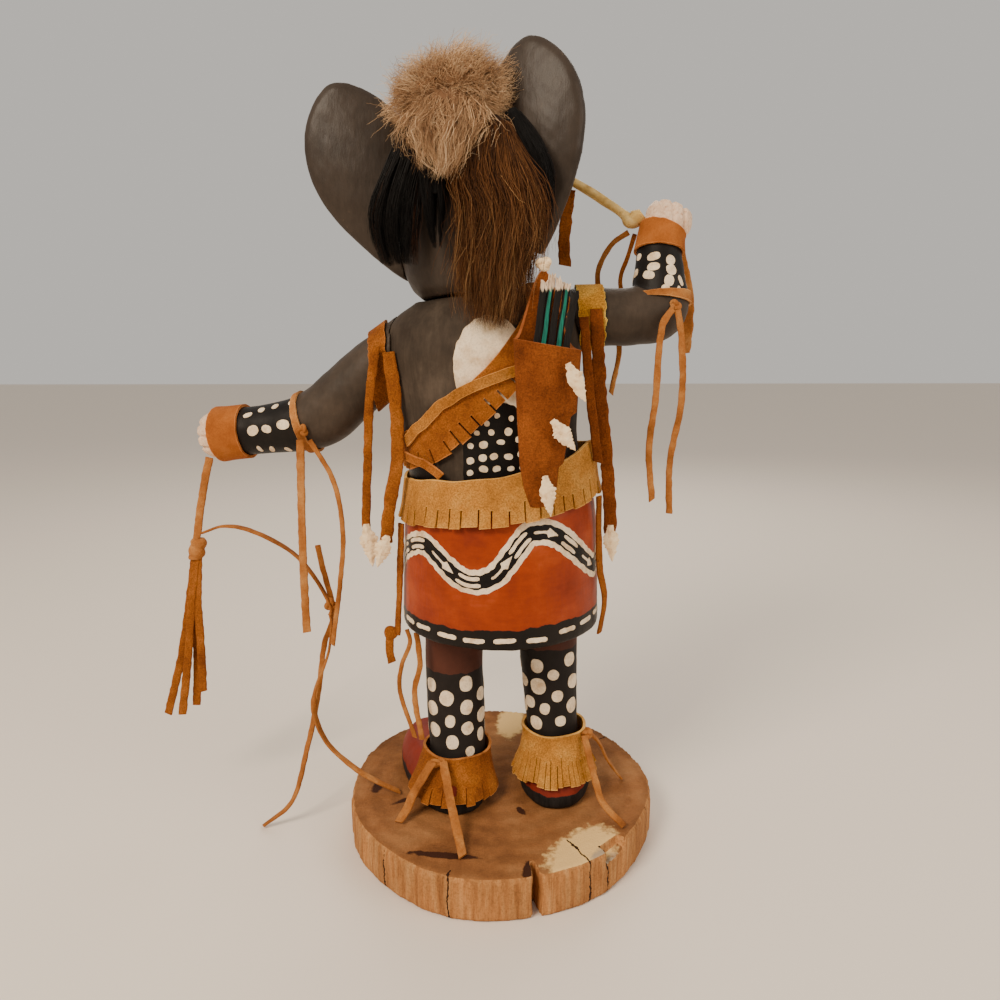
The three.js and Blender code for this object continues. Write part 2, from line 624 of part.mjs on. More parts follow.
add('shoulder_knot', knot([19.5, -43.2, 309.2], [3.4, 3, 2.8]), paint.bone);
add('quiver_point_1', arrowhead([29.6, 265], [38, 247.6], 8.2, -60), paint.bone);
add('quiver_point_2', arrowhead([22.8, 239.5], [33.6, 225.6], 8.2, -61), paint.bone);
add('quiver_point_3', arrowhead([19.8, 214], [22.6, 195], 8, -62.2), paint.bone);

add('left_shoulder_band', uprightSleeve(leftArm, -33.3, -42.6, 0.09), paint.suede);
add('right_shoulder_band', cut(sleeve(rightArm, 0.02, 0.11), torsoCutter), paint.tan);
add('left_strap_1', strip([[-62, -17.2, 272], [-66.1, -16.5, 245], [-68.5, -13, 214], [-70.8, -11, 181]], 4.6, 1.4, back), paint.suede);
add('left_strap_2', strip([[-55.6, -18.2, 269], [-52.8, -19.6, 245.2], [-52.4, -21.5, 215], [-56.2, -22.5, 194], [-58.6, -22, 177]],
  6.6, 1.4, back), paint.suede);
add('right_strap_1', strip([[47.6, -17.4, 290], [50.6, -20, 245], [54, -18.5, 219.5], [58, -16, 181]], 6.6, 1.4, back), paint.suede);
add('right_strap_2', strip([[41, -22.5, 286], [43.2, -24.6, 260], [46, -25, 238], [49.6, -23, 214]], 4.6, 1.4, back), paint.suede);
add('left_point_1', arrowhead([-70.6, 179.5], [-68, 156], 9.6, -11), paint.bone);
add('left_point_2', arrowhead([-58.4, 176], [-64, 159], 8.6, -22.6), paint.bone);
add('right_point', arrowhead([58, 179.5], [59.5, 159.5], 8.4, -16), paint.bone);

add('left_wrist_cuff', sleeve(leftArm, 0.69, 0.84), paint.tan);
add('right_wrist_cuff', sleeve(rightArm, 0.635, 0.76), paint.tan);
add('left_elbow_tie', join(
  sleeve(leftArm, 0.432, 0.462, { thick: 1.3 }),
  knot([-102.5, -7.2, 228.6], [3.2, 2, 3.8]),
), paint.lace);
add('right_elbow_tie', join(
  sleeve(rightArm, 0.41, 0.44, { thick: 1.3, gap: 0.6 }),
  cut(knot([88, -11.2, 291.5], [3.4, 2.8, 3.6]), limbCutter(rightArm)),
), paint.lace);
add('left_elbow_tail_1', strip([[-103.5, -9.6, 224], [-104.9, -9.4, 181], [-105.7, -8, 148], [-105.6, -8, 118]], 4.2, 1.4, back), paint.lace);
add('left_elbow_tail_2', strip([[-98.6, -9.6, 224], [-87.1, -10, 202], [-83.8, -8, 174], [-86.8, -5, 146], [-92.7, -4, 109]], 2.6, 1.4, back), paint.lace);
add('right_elbow_tail_1', strip([[80.5, -15.6, 281], [79.6, -14, 245], [77.6, -12, 219], [80.2, -12, 192]], 3.4, 1.4, back), paint.lace);
add('right_elbow_tail_2', strip([[90.5, -13.2, 282], [94.5, -8, 244], [90.9, -3, 211], [92.4, 0, 182]], 3.4, 1.4, back), paint.lace);

add('left_ankle_cuff', ankleCuff(leftLeg, [
  [-26.3, -15.5, 31, 22.8], [-25.6, -12.5, 38, 20.4], [-24.6, -8, 47, 17.8], [-24, -7, 51, 17.8],
]), paint.suede);
add('right_ankle_cuff', ankleCuff(rightLeg, [
  [31, -10, 37.5, 22.4], [31, -8, 47, 18.6], [31, -5, 57, 16.4], [30.6, -4.6, 61.5, 16.8],
]), paint.tan);
add('left_ankle_tie', join(
  knot([-34, -27.6, 50], [5.5, 2, 2.6]),
  strip([[-37, -27.4, 50], [-46.5, -35, 37], [-50.5, -39, 29], [-54.5, -43, ground + 1]], 5, 1.3, [-0.4, -0.6, 0.7], above),
  strip([[-31, -28.4, 51], [-27.4, -43.6, 41], [-22.8, -59, 30], [-19.5, -72, ground + 1]], 4.6, 1.3, [0, -0.7, 0.7], above),
), paint.lace);
add('right_ankle_tie', join(
  knot([48.6, -16, 60.5], [2.4, 3.6, 2.6]),
  strip([[46.6, -18, 60], [50, -29, 46], [54, -39, 33], [64.5, -49, ground + 1]], 4, 1.3, [0.5, -0.6, 0.7], above),
  strip([[49, -12.6, 60], [56.4, -7, 50], [62.4, -5, 37], [71, -4, ground + 1]], 3.6, 1.3, [0.8, -0.2, 0.6], above),
), paint.lace);

add('left_hand_thong', strip([[-161, 19.5, 210.4], [-165.7, 19, 192], [-171, 18, 164.2]], 4.2, 1.5, back, back, 6), paint.lace);
add('tassel', tassel(), paint.lace);
add('lace_1', join(
  strip([[-167, 17, 168], [-152.6, 12, 173], [-133, 7, 170], [-109.7, 3, 156], [-94.6, 0, 132.5]], 4.2, 1.3, above, back, 10),
  knot([-94, 0, 130.5], [2.8, 2.6, 4]),
  strip([[-93.6, 0, 130], [-95.7, 0, 104], [-105.5, -1.5, 74], [-100.2, -4, 53], [-88.6, -7, 40.6], [-72.6, -11, 31],
    [-57, -14, ground + 1]], 3, 1.4, back, above, 12),
), paint.lace);
add('lace_2', strip([[-100, 3.6, 164], [-97.8, 4.4, 150], [-94.6, 5, 135], [-93, 5, 124], [-99, 4.6, 106], [-103.9, 3.4, 75],
  [-110.1, -3, 45.7], [-119.9, -8, 14.3], [-136, -10.2, 1.2]], 3, 1.4, back, above, 16), paint.lace);

add('stick', cut(limb(stickPath, { sides: 10 }), limbCutter(rightArm)), paint.twig);
add('stick_thong_1', strip([[69.6, 24, 331], [62, 24.6, 326], [54.2, 24, 313], [53.8, 24, 304.7], [60, 24, 288], [66.3, 24, 272], [62.6, 24, 245]], 2.8, 1.3, away), paint.lace);
add('stick_thong_2', strip([[73, 23.6, 330], [69.6, 23, 319], [65.8, 24, 306], [68, 24, 296]], 2.4, 1.3, away, away, 6), paint.suede);
add('stick_leaf', strip([[38, 27.4, 353], [36.5, 27.4, 340], [35.4, 27.4, 327], [36, 27.4, 314]], 6.4, 1.3, away, away, 6), paint.suede);
add('forearm_strip', strip([[97.5, 24, 320], [103.6, 26, 298], [104, 26, 280], [103.2, 26, 267]], 6.4, 1.3, away, away, 6), paint.lace);

add('left_hip_strap', join(
  strip([[-51.6, -17, 181], [-52.6, -17, 160], [-53.8, -16.6, 139], [-55.3, -15.6, 119]], 4.2, 1.3, [-0.7, -0.7, 0]),
  new THREE.CylinderGeometry(3.8, 3.8, 2, 12).translate(-58.8, -15, 120),
  strip([[-59.4, -15, 118], [-59.6, -15, 111], [-58.8, -15, 103]], 4.4, 1.2, back, back, 3),
), paint.suede);
add('left_hip_lace_1', strip([[-50.2, -15.6, 122], [-48.6, -15.6, 115], [-53.5, -15, 101.5], [-55, -15, 87.4], [-47, -17, 59.5]], 2.4, 1.2, back), paint.lace);
add('left_hip_lace_2', strip([[-45, -17.6, 121], [-43.8, -18.6, 112], [-43.4, -18.6, 102], [-46.6, -19, 88], [-43, -20.4, 60]], 3, 1.2, back), paint.lace);
add('right_hip_strap', strip([[51.1, -18.5, 195.5], [52.6, -18, 157], [56, -15.6, 138.5], [53.6, -16.6, 120]], 4, 1.3, [0.7, -0.7, 0]), paint.suede);

export default doll;
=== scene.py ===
import math
import bpy
import numpy as np
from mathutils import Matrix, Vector
from mathutils.bvhtree import BVHTree


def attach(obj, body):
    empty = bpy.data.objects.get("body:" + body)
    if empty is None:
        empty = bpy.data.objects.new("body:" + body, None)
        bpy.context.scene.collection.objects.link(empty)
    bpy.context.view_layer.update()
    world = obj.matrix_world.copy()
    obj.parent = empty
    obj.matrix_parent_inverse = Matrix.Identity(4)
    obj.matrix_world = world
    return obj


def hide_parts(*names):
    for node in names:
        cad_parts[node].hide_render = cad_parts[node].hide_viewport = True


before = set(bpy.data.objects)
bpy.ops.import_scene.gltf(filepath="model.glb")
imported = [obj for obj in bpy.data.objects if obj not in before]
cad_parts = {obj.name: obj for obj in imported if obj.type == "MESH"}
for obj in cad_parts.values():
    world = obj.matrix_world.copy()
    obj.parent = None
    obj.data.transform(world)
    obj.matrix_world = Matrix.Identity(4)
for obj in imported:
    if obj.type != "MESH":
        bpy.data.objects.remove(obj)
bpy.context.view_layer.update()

# A carved and painted kachina doll on a slice of log, dressed in leather, fur and hair.
# Sizes are in millimetres until a mesh is made; +Y is the way the doll faces.
mm = 0.001

# Camera, light and floor
studio = {"cameraPlace": (-7.9, -423.6, 278.8), "lookDown": 11.87, "lookRight": 1.10, "lens": 28.8, "keyPower": 15.0,
    "fillPower": 4.0, "backPower": 5.0, "world": 0.6, "floorTone": (0.8, 0.7, 0.6)}


def makeStudio():
    cameraData = bpy.data.cameras.new("camera")
    cameraData.lens = studio["lens"]
    cameraData.sensor_width = 36
    cameraData.clip_start = 0.01
    camera = bpy.data.objects.new("camera", cameraData)
    camera.location = Vector(studio["cameraPlace"]) * mm
    camera.rotation_euler = (math.radians(90 - studio["lookDown"]), 0, math.radians(-studio["lookRight"]))
    bpy.context.scene.collection.objects.link(camera)
    bpy.context.scene.camera = camera
    lamps = [("key", (-0.6, -0.75, 0.95), 0.4, studio["keyPower"], (1.0, 0.87, 0.7)),
        ("fill", (0.8, -0.45, 0.6), 0.6, studio["fillPower"], (1.0, 0.92, 0.8)),
        ("rim", (0.15, 0.9, 0.85), 0.7, studio["backPower"], (1.0, 0.94, 0.85))]
    for name, place, size, power, colour in lamps:
        lamp = bpy.data.lights.new(name, "AREA")
        lamp.size = size
        lamp.energy = power
        lamp.color = colour
        lampObject = bpy.data.objects.new(name, lamp)
        lampObject.location = place
        aim = Vector((0, 0, 0.2)) - Vector(place)
        lampObject.rotation_euler = aim.to_track_quat("-Z", "Y").to_euler()
        bpy.context.scene.collection.objects.link(lampObject)
    world = bpy.data.worlds.new("studio")
    world.use_nodes = True
    world.node_tree.nodes["Background"].inputs["Color"].default_value = (1.0, 0.95, 0.88, 1)
    world.node_tree.nodes["Background"].inputs["Strength"].default_value = studio["world"]
    bpy.context.scene.world = world
    bpy.ops.mesh.primitive_plane_add(size=8, location=(0, 0, 0))
    floor = bpy.context.object
    floor.name = "floor"
    paper = bpy.data.materials.new("floorPaper")
    paper.use_nodes = True
    paper.node_tree.nodes["Principled BSDF"].inputs["Base Color"].default_value = (*studio["floorTone"], 1)
    paper.node_tree.nodes["Principled BSDF"].inputs["Roughness"].default_value = 0.8
    floor.data.materials.append(paper)


makeStudio()


# small tools for numbers and meshes
def rgb(r, g, b):
    return tuple((c / 255 / 12.92 if c <= 10 else ((c / 255 + 0.055) / 1.055) ** 2.4) for c in (r, g, b)) + (1,)


def ripple(points, size, seed, waves=14):  # smooth noise from -1 to 1 over points in mm
    dice = np.random.default_rng(seed)
    ways = dice.normal(size=(waves, 3))
    ways *= (2 * np.pi / size / np.linalg.norm(ways, axis=1) * dice.uniform(0.6, 1.7, waves))[:, None]
    phases = dice.uniform(0, 2 * np.pi, waves)
    return np.clip(np.sin(np.asarray(points) @ ways.T + phases).sum(1) / math.sqrt(waves) * 0.8, -1, 1)


def rippleAlong(run, size, seed):  # the same noise over lengths along a line
    return ripple(np.stack([run, run * 0, run * 0], 1), size, seed)


def roundAngles(count):
    return np.linspace(0, 2 * np.pi, count, endpoint=False)


def softLerp(t, xs, ys, blur=0.0):  # values between stations, rounded off over blur
    if blur == 0:
        return np.interp(t, xs, ys)
    shares = np.linspace(-1, 1, 9)
    weights = (1 - shares ** 2) / (1 - shares ** 2).sum()
    return sum(w * np.interp(np.asarray(t) + s * blur, xs, ys) for s, w in zip(shares, weights))


def flowLine(points, count):  # a smooth curve through points, evenly spaced
    p = np.asarray(points, float)
    ends = [p[:1] * 2 - p[1:2], p[-1:] * 2 - p[-2:-1]]
    q = np.vstack([ends[0], p, ends[1]])
    gaps = np.sqrt(np.linalg.norm(np.diff(q[:, :3], axis=0), axis=1))
    gaps = np.maximum(gaps, 1e-4)
    fine = []
    for i in range(1, len(q) - 2):
        a, b, c, d = q[i - 1:i + 3]
        ga, gb, gc = gaps[i - 1:i + 2]
        m1 = (b - a) / ga - (c - a) / (ga + gb) + (c - b) / gb
        m2 = (c - b) / gb - (d - b) / (gb + gc) + (d - c) / gc
        t = np.linspace(0, 1, 24, endpoint=False)[:, None]
        h = (2 * t ** 3 - 3 * t ** 2 + 1) * b + (t ** 3 - 2 * t ** 2 + t) * gb * m1
        fine.append(h + (-2 * t ** 3 + 3 * t ** 2) * c + (t ** 3 - t ** 2) * gb * m2)
    fine = np.vstack(fine + [p[-1:]])
    run = np.concatenate([[0], np.cumsum(np.linalg.norm(np.diff(fine[:, :3], axis=0), axis=1))])
    at = np.linspace(0, run[-1], count)
    return np.stack([np.interp(at, run, fine[:, k]) for k in range(fine.shape[1])], 1)


def gridFaces(rows, columns, closedRows=False, start=0):  # rows of columns of points, columns joined round
    faces = []
    for i in range(rows if closedRows else rows - 1):
        a, b = start + i * columns, start + (i + 1) % rows * columns
        for j in range(columns):
            k = (j + 1) % columns
            faces.append((a + j, a + k, b + k, b + j))
    return faces


def closedTube(rings):  # (points, faces) of a tube with capped ends
    n = len(rings[0])
    points = np.vstack(rings)
    faces = gridFaces(len(rings), n)
    points = np.vstack([points, np.mean(rings[0], 0), np.mean(rings[-1], 0)])
    low, high = len(points) - 2, len(points) - 1
    last = (len(rings) - 1) * n
    faces += [(low, (j + 1) % n, j) for j in range(n)]
    faces += [(high, last + j, last + (j + 1) % n) for j in range(n)]
    return points, faces


def meshOf(name, shapes):  # one mesh object from (points in mm, faces) shapes, each turned to face out
    mesh = bpy.data.meshes.new(name)
    allPoints, allFaces, cut, start = [], [], [], 0
    for points, faces, *rim in shapes:
        points = np.asarray(points, float)
        cut.append(rim[0] if rim else np.zeros(len(points)))
        tris = np.array([(f[0], f[i], f[i + 1]) for f in faces for i in range(1, len(f) - 1)])
        a, b, c = (points[tris[:, k]] for k in range(3))
        inside = np.einsum("ij,ij->i", a, np.cross(b, c)).sum() < 0
        allFaces += [tuple(start + v for v in (reversed(f) if inside else f)) for f in faces]
        allPoints.append(points)
        start += len(points)
    mesh.from_pydata([tuple(p) for p in np.vstack(allPoints) * mm], [], allFaces)
    if any(values.any() for values in cut):
        marked(mesh, "cutEdge", np.concatenate(cut))
    mesh.update()
    made = bpy.data.objects.new(name, mesh)
    bpy.context.scene.collection.objects.link(made)
    return made


def marked(mesh, name, values):  # a number for each point, which a material reads
    mesh.attributes.new(name, "FLOAT", "POINT").data.foreach_set("value", np.asarray(values, np.float32).ravel())


def settled(piece):  # the evaluated mesh takes the place of the modifiers
    graph = bpy.context.evaluated_depsgraph_get()
    mesh = bpy.data.meshes.new_from_object(piece.evaluated_get(graph))
    piece.modifiers.clear()
    piece.data = mesh
    return piece


def grown(piece, tree, values):  # runs a node tree, whose inputs are set by identifier beforehand
    step = piece.modifiers.new(tree.name, "NODES")
    step.node_group = tree
    for item in tree.interface.items_tree:
        if item.in_out == "INPUT" and item.name in values:
            step[item.identifier] = values[item.name]
    return settled(piece)


def fused(piece, voxel):
    fuse = piece.modifiers.new("fuse", "REMESH")
    fuse.mode = "VOXEL"
    fuse.voxel_size = voxel * mm
    return settled(piece)


def trimmed(piece, cutters):
    for cutter in cutters:
        bite = piece.modifiers.new("bite", "BOOLEAN")
        bite.object = cutter
        bite.operation = "DIFFERENCE"
        bite.solver = "EXACT"
    return settled(piece)


def smoothed(piece, rounds):
    smooth = piece.modifiers.new("smooth", "SMOOTH")
    smooth.factor = 0.5
    smooth.iterations = rounds
    return settled(piece)


def carved(name, shapes, voxel, rounds=3, cutters=()):  # shapes fused into one carved solid
    piece = fused(meshOf(name, shapes), voxel)
    if cutters:
        fused(trimmed(piece, cutters), voxel)
    return smoothed(piece, rounds)


def pointsOf(piece):
    flat = np.empty(len(piece.data.vertices) * 3)
    piece.data.vertices.foreach_get("co", flat)
    return flat.reshape(-1, 3) / mm


def normalsOf(piece):
    flat = np.empty(len(piece.data.vertices) * 3)
    piece.data.vertex_normals.foreach_get("vector", flat)
    return flat.reshape(-1, 3)


def pushed(piece, amount):  # every point moves along its normal by its own amount in mm
    moved = (pointsOf(piece) + normalsOf(piece) * np.asarray(amount)[:, None]) * mm
    piece.data.vertices.foreach_set("co", moved.ravel())
    piece.data.update()


def drop(*pieces):
    for piece in pieces:
        bpy.data.objects.remove(piece)


def finished(piece, material, nodes=(), sharp=None):
    piece.data.materials.clear()
    piece.data.materials.append(material)
    piece.data.shade_smooth()
    if sharp is not None:
        piece.data.set_sharp_from_angle(angle=math.radians(sharp))
    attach(piece, "root")
    if nodes:
        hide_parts(*nodes)
    return piece


# material tools
def place(tree, kind, inputs=None, **settings):
    node = tree.nodes.new(kind)
    for key, value in settings.items():
        setattr(node, key, value)
    for key, value in (inputs or {}).items():
        if isinstance(value, bpy.types.NodeSocket):
            tree.links.new(value, node.inputs[key])
        else:
            node.inputs[key].default_value = value
    return node


def startLook(name, roughness=0.8):
    look = bpy.data.materials.new(name)
    look.use_nodes = True
    tree = look.node_tree
    shader = tree.nodes["Principled BSDF"]
    shader.inputs["Roughness"].default_value = roughness
    shader.inputs["Specular IOR Level"].default_value = 0.16
    coords = place(tree, "ShaderNodeTexCoord").outputs["Object"]
    return look, tree, shader, coords


def stretched(tree, coords, scale):
    return place(tree, "ShaderNodeMapping", {"Vector": coords, "Scale": scale}).outputs["Vector"]


def noiseAt(tree, vector, scale, detail=4.0, rough=0.6, output="Fac"):
    inputs = {"Vector": vector, "Scale": scale, "Detail": detail, "Roughness": rough}
    return place(tree, "ShaderNodeTexNoise", inputs).outputs[output]


def numberOf(tree, attribute):  # a number that the mesh holds for each point
    return place(tree, "ShaderNodeAttribute", attribute_name=attribute).outputs["Fac"]


def ramp(tree, fac, stops):
    node = place(tree, "ShaderNodeValToRGB", {"Fac": fac})
    while len(node.color_ramp.elements) < len(stops):
        node.color_ramp.elements.new(0.5)
    for element, (position, colour) in zip(node.color_ramp.elements, stops):
        element.position = position
        element.color = colour if len(colour) == 4 else (*colour, 1)
    return node.outputs["Color"]


def grey(v):
    return (v, v, v, 1)


def mixed(tree, fac, a, b, mode="MIX"):
    node = place(tree, "ShaderNodeMix", data_type="RGBA", blend_type=mode)
    for index, value in ((0, fac), (6, a), (7, b)):
        if isinstance(value, bpy.types.NodeSocket):
            tree.links.new(value, node.inputs[index])
        else:
            node.inputs[index].default_value = value
    return node.outputs[2]


def maths(tree, operation, a, b=0.0, clamp=False):
    node = place(tree, "ShaderNodeMath", operation=operation, use_clamp=clamp)
    for index, value in ((0, a), (1, b)):
        if isinstance(value, bpy.types.NodeSocket):
            tree.links.new(value, node.inputs[index])
        else:
            node.inputs[index].default_value = value
    return node.outputs[0]


def past(tree, value, edge, steepness):  # 0 before an edge and 1 past it
    return maths(tree, "MULTIPLY", maths(tree, "SUBTRACT", value, edge), steepness, clamp=True)


def shaded(tree, tone, fac, low, dark, high, light):  # a tone darkened and lightened by noise
    return mixed(tree, 1.0, tone, ramp(tree, fac, [(low, grey(dark)), (high, grey(light))]), "MULTIPLY")


def vectorMaths(tree, operation, a, b=None, scale=None, output=0):
    inputs = {0: a}
    if b is not None:
        inputs[1] = b
    if scale is not None:
        inputs["Scale"] = scale
    return place(tree, "ShaderNodeVectorMath", inputs, operation=operation).outputs[output]


def bumped(tree, shader, height, strength, distance):
    bump = place(tree, "ShaderNodeBump", {"Height": height, "Strength": strength, "Distance": distance})
    tree.links.new(bump.outputs["Normal"], shader.inputs["Normal"])


def paintedLook(name, colour, worn, streak=(1, 1, 0.25), wear=0.62, roughness=0.7, bump=0.35):
    look, tree, shader, coords = startLook(name, roughness)
    brush = noiseAt(tree, stretched(tree, coords, streak), 420, 6, 0.65)
    cloud = noiseAt(tree, coords, 45, 5, 0.6)
    tone = ramp(tree, cloud, [(0.3, tuple(c * 0.8 for c in colour[:3])),
        (0.72, tuple(min(1, c * 1.22) for c in colour[:3]))])
    streaks = ramp(tree, brush, [(0.35, grey(0.86)), (0.7, grey(1.12))])
    base = mixed(tree, 1.0, tone, streaks, "MULTIPLY")
    rubbed = maths(tree, "MULTIPLY", brush, cloud)
    chips = ramp(tree, rubbed, [(wear * 0.62, grey(0)), (wear * 0.7, grey(1))])
    tree.links.new(mixed(tree, chips, base, worn), shader.inputs["Base Color"])
    bumped(tree, shader, brush, bump, 0.0006)
    return look


def suedeLook(name, colour, dark, light, nap=1.0):
    look, tree, shader, coords = startLook(name, 0.95)
    patch = noiseAt(tree, coords, 60, 6, 0.65)
    fuzz = noiseAt(tree, coords, 1250, 5, 0.7)
    edge = numberOf(tree, "cutEdge")
    tone = ramp(tree, patch, [(0.28, dark), (0.5, colour), (0.75, light)])
    speck = ramp(tree, fuzz, [(0.34, grey(1 - 0.42 * nap)), (0.5, grey(0.97)), (0.66, grey(1 + 0.36 * nap))])
    tone = mixed(tree, 1.0, tone, speck, "MULTIPLY")
    pale = tuple(min(1, c * 1.75 + 0.03) for c in light[:3]) + (1,)
    rim = maths(tree, "MULTIPLY", ramp(tree, edge, [(0.72, grey(0)), (0.95, grey(1))]),
        ramp(tree, patch, [(0.35, grey(0.15)), (0.6, grey(0.75))]))
    tree.links.new(mixed(tree, rim, tone, pale), shader.inputs["Base Color"])
    bumped(tree, shader, maths(tree, "ADD", fuzz, maths(tree, "MULTIPLY", patch, 2.0)), 0.8 * nap, 0.0009)
    return look


print("stage: tools ready")

# the carved figure: torso, kilt, legs and moccasins in one piece
hem = 124.5
ground = 23.6
trunkStations = np.array([(hem, 0.5, 53.5, 53.5, 0), (150, 0.5, 53, 52.6, 0), (178, 0.5, 51.8, 51.2, 0.02),
    (190, 0.3, 50.4, 49.2, 0.035), (198, 0, 47.6, 43.5, 0.05), (206, -2.5, 45.2, 37.6, 0.07),
    (225, -4.5, 45.5, 36.5, 0.09), (250, -6, 48, 37.5, 0.1), (272, -7.5, 50.5, 38, 0.11), (286, -8.5, 49, 34, 0.12),
    (293, -10, 42, 28, 0.12), (297, -12, 30, 21, 0.12)])


def trunkPoint(angle, z, grow=0.0):  # angle in radians
    s = [softLerp(z, trunkStations[:, 0], trunkStations[:, k], 3.0) for k in (1, 2, 3, 4)]
    across = (s[1] + grow) * np.cos(angle)
    return np.stack([s[0] + across * np.cos(s[3]), (s[2] + grow) * np.sin(angle), z + across * np.sin(s[3])], -1)


def trunkShape(grow=0.0, sides=96, rows=90):
    angles = roundAngles(sides)
    heights = np.concatenate([np.linspace(hem, 280, rows), np.linspace(281, 297, 18)])
    return closedTube([trunkPoint(angles, np.full(sides, z), grow) for z in heights])


def limbRings(stations, count, sides, grow=0.0):  # oval rings along a limb, as the solids have them
    line = flowLine(stations, count)
    rings = []
    for i in range(count):
        along = line[min(i + 1, count - 1), :3] - line[max(i - 1, 0), :3]
        along /= np.linalg.norm(along)
        behind = np.array([0, 1.0, 0]) - along * along[1]
        behind /= np.linalg.norm(behind)
        across = np.cross(behind, along)
        a = roundAngles(sides)[:, None]
        rings.append(line[i, :3] + across * (line[i, 3] + grow) * np.cos(a) + behind * (line[i, 4] + grow)
            * np.sin(a))
    return rings


legs = {"left": {"middle": (-33.5, 4), "turn": 19, "ankle": (-24, -6, 15.6), "hip": (-25.6, -1)},
    "right": {"middle": (32.5, 10), "turn": -4, "ankle": (31, -4, 14), "hip": (27.5, 0)}}
shoe = {"length": 86, "width": 42, "sole": 8.5}


def legStations(leg):
    (x, y, r), (hx, hy) = leg["ankle"], leg["hip"]
    return [(x - 1, y - 3, ground + 8, r + 1, r + 1), (x, y - 1, ground + 24, r, r),
        (x + (hx - x) * 0.4, y * 0.7, ground + 42, r + 0.4, r + 0.2), (hx, hy, hem - 20, 16, 16),
        (hx, hy, hem + 6, 16.5, 16.5)]


def footShape(leg):
    a = roundAngles(72)
    width = np.sign(np.cos(a)) * np.abs(np.cos(a)) ** 0.85 * shoe["width"] / 2
    reach = np.sign(np.sin(a)) * np.abs(np.sin(a)) ** 0.9 * shoe["length"] / 2
    levels = np.array([(0, 0.955), (1.2, 0.985), (2.5, 1), (shoe["sole"] - 1, 1), (shoe["sole"], 0.992),
        (shoe["sole"] + 3, 0.972), (shoe["sole"] + 6, 0.92), (shoe["sole"] + 9, 0.85), (shoe["sole"] + 11.3, 0.76),
        (shoe["sole"] + 13, 0.62)])
    rings = []
    for z, scale in levels:
        stretch = np.where(reach > 0, 0.75 + 0.25 * scale, scale)
        instep = 6 * np.maximum(0, reach / shoe["length"]) * min(1, max(0, (z - shoe["sole"] - 3) / 8))
        rings.append(np.stack([width * scale, reach * stretch, z - instep], 1))
    t = math.radians(leg["turn"])
    points, faces = closedTube(rings)
    turned = points @ np.array([[math.cos(t), math.sin(t), 0], [-math.sin(t), math.cos(t), 0], [0, 0, 1]])
    return turned + np.array([*leg["middle"], ground]), faces


def bodyLook():
    look, tree, shader, coords = startLook("bodyPaint", 0.62)
    xyz = place(tree, "ShaderNodeSeparateXYZ", {"Vector": coords}).outputs
    wobble = noiseAt(tree, coords, 130, 3, 0.5)
    brush = noiseAt(tree, stretched(tree, coords, (1, 1, 0.22)), 380, 6, 0.65)
    around = noiseAt(tree, stretched(tree, coords, (0.25, 0.25, 1)), 420, 6, 0.65)
    cloud = noiseAt(tree, coords, 38, 5, 0.6)
    height = maths(tree, "ADD", xyz["Z"], maths(tree, "MULTIPLY", maths(tree, "SUBTRACT", wobble, 0.5), 0.004))

    def above(z):
        return past(tree, height, z * mm, 2500)

    torso = ramp(tree, cloud, [(0.3, rgb(46, 37, 30)), (0.55, rgb(62, 52, 43)), (0.75, rgb(82, 70, 59))])
    torso = shaded(tree, torso, brush, 0.35, 0.82, 0.7, 1.18)
    kilt = ramp(tree, cloud, [(0.3, rgb(118, 38, 12)), (0.55, rgb(146, 52, 16)), (0.75, rgb(168, 70, 26))])
    kilt = shaded(tree, kilt, around, 0.35, 0.9, 0.7, 1.1)
    legPaint = ramp(tree, cloud, [(0.3, rgb(20, 16, 14)), (0.7, rgb(38, 32, 29))])
    shin = ramp(tree, cloud, [(0.3, rgb(58, 30, 22)), (0.7, rgb(84, 46, 34))])
    moccasin = ramp(tree, cloud, [(0.3, rgb(96, 26, 16)), (0.7, rgb(134, 46, 26))])
    sole = ramp(tree, brush, [(0.3, rgb(20, 18, 17)), (0.7, rgb(42, 38, 36))])
    band = ramp(tree, cloud, [(0.3, rgb(14, 11, 9)), (0.7, rgb(30, 24, 20))])
    left = maths(tree, "LESS_THAN", xyz["X"], 0.0)
    shinEdge = maths(tree, "SUBTRACT", 0.109, maths(tree, "MULTIPLY", left, 0.0125))
    bare = past(tree, height, shinEdge, 2500)
    bandEdge = maths(tree, "ADD", 0.1352, maths(tree, "MULTIPLY", xyz["X"], 0.025))
    overBand = past(tree, height, bandEdge, 2500)
    tone = mixed(tree, above(ground + shoe["sole"] - 0.6), sole, moccasin)
    tone = mixed(tree, above(ground + 24), tone, legPaint)
    tone = mixed(tree, bare, tone, shin)
    tone = mixed(tree, above(hem - 1.2), tone, band)
    tone = mixed(tree, overBand, tone, kilt)
    tone = mixed(tree, above(198), tone, torso)
    tree.links.new(tone, shader.inputs["Base Color"])
    gloss = mixed(tree, above(hem - 1.2), grey(0.6), grey(0.4))
    gloss = mixed(tree, above(198), gloss, grey(0.8))
    tree.links.new(gloss, shader.inputs["Roughness"])
    bumped(tree, shader, brush, 0.3, 0.0005)
    return look


grainSize = {"figure": 1.15, "arm": 0.72, "head": 0.9, "ear": 0.75}  # how finely each is carved
trunkCutter = meshOf("trunkCutter", [trunkShape(0.25, 72, 40)])
figure = carved("carvedFigure", [trunkShape()] + [closedTube(limbRings(legStations(leg), 60, 60))
    for leg in legs.values()] + [footShape(leg) for leg in legs.values()], grainSize["figure"])
figurePoints = pointsOf(figure)
pushed(figure, 0.16 * ripple(figurePoints, 26, 1) + 0.06 * ripple(figurePoints, 9, 2))
finished(figure, bodyLook(), ["body"])
print("stage: figure", len(figure.data.polygons))

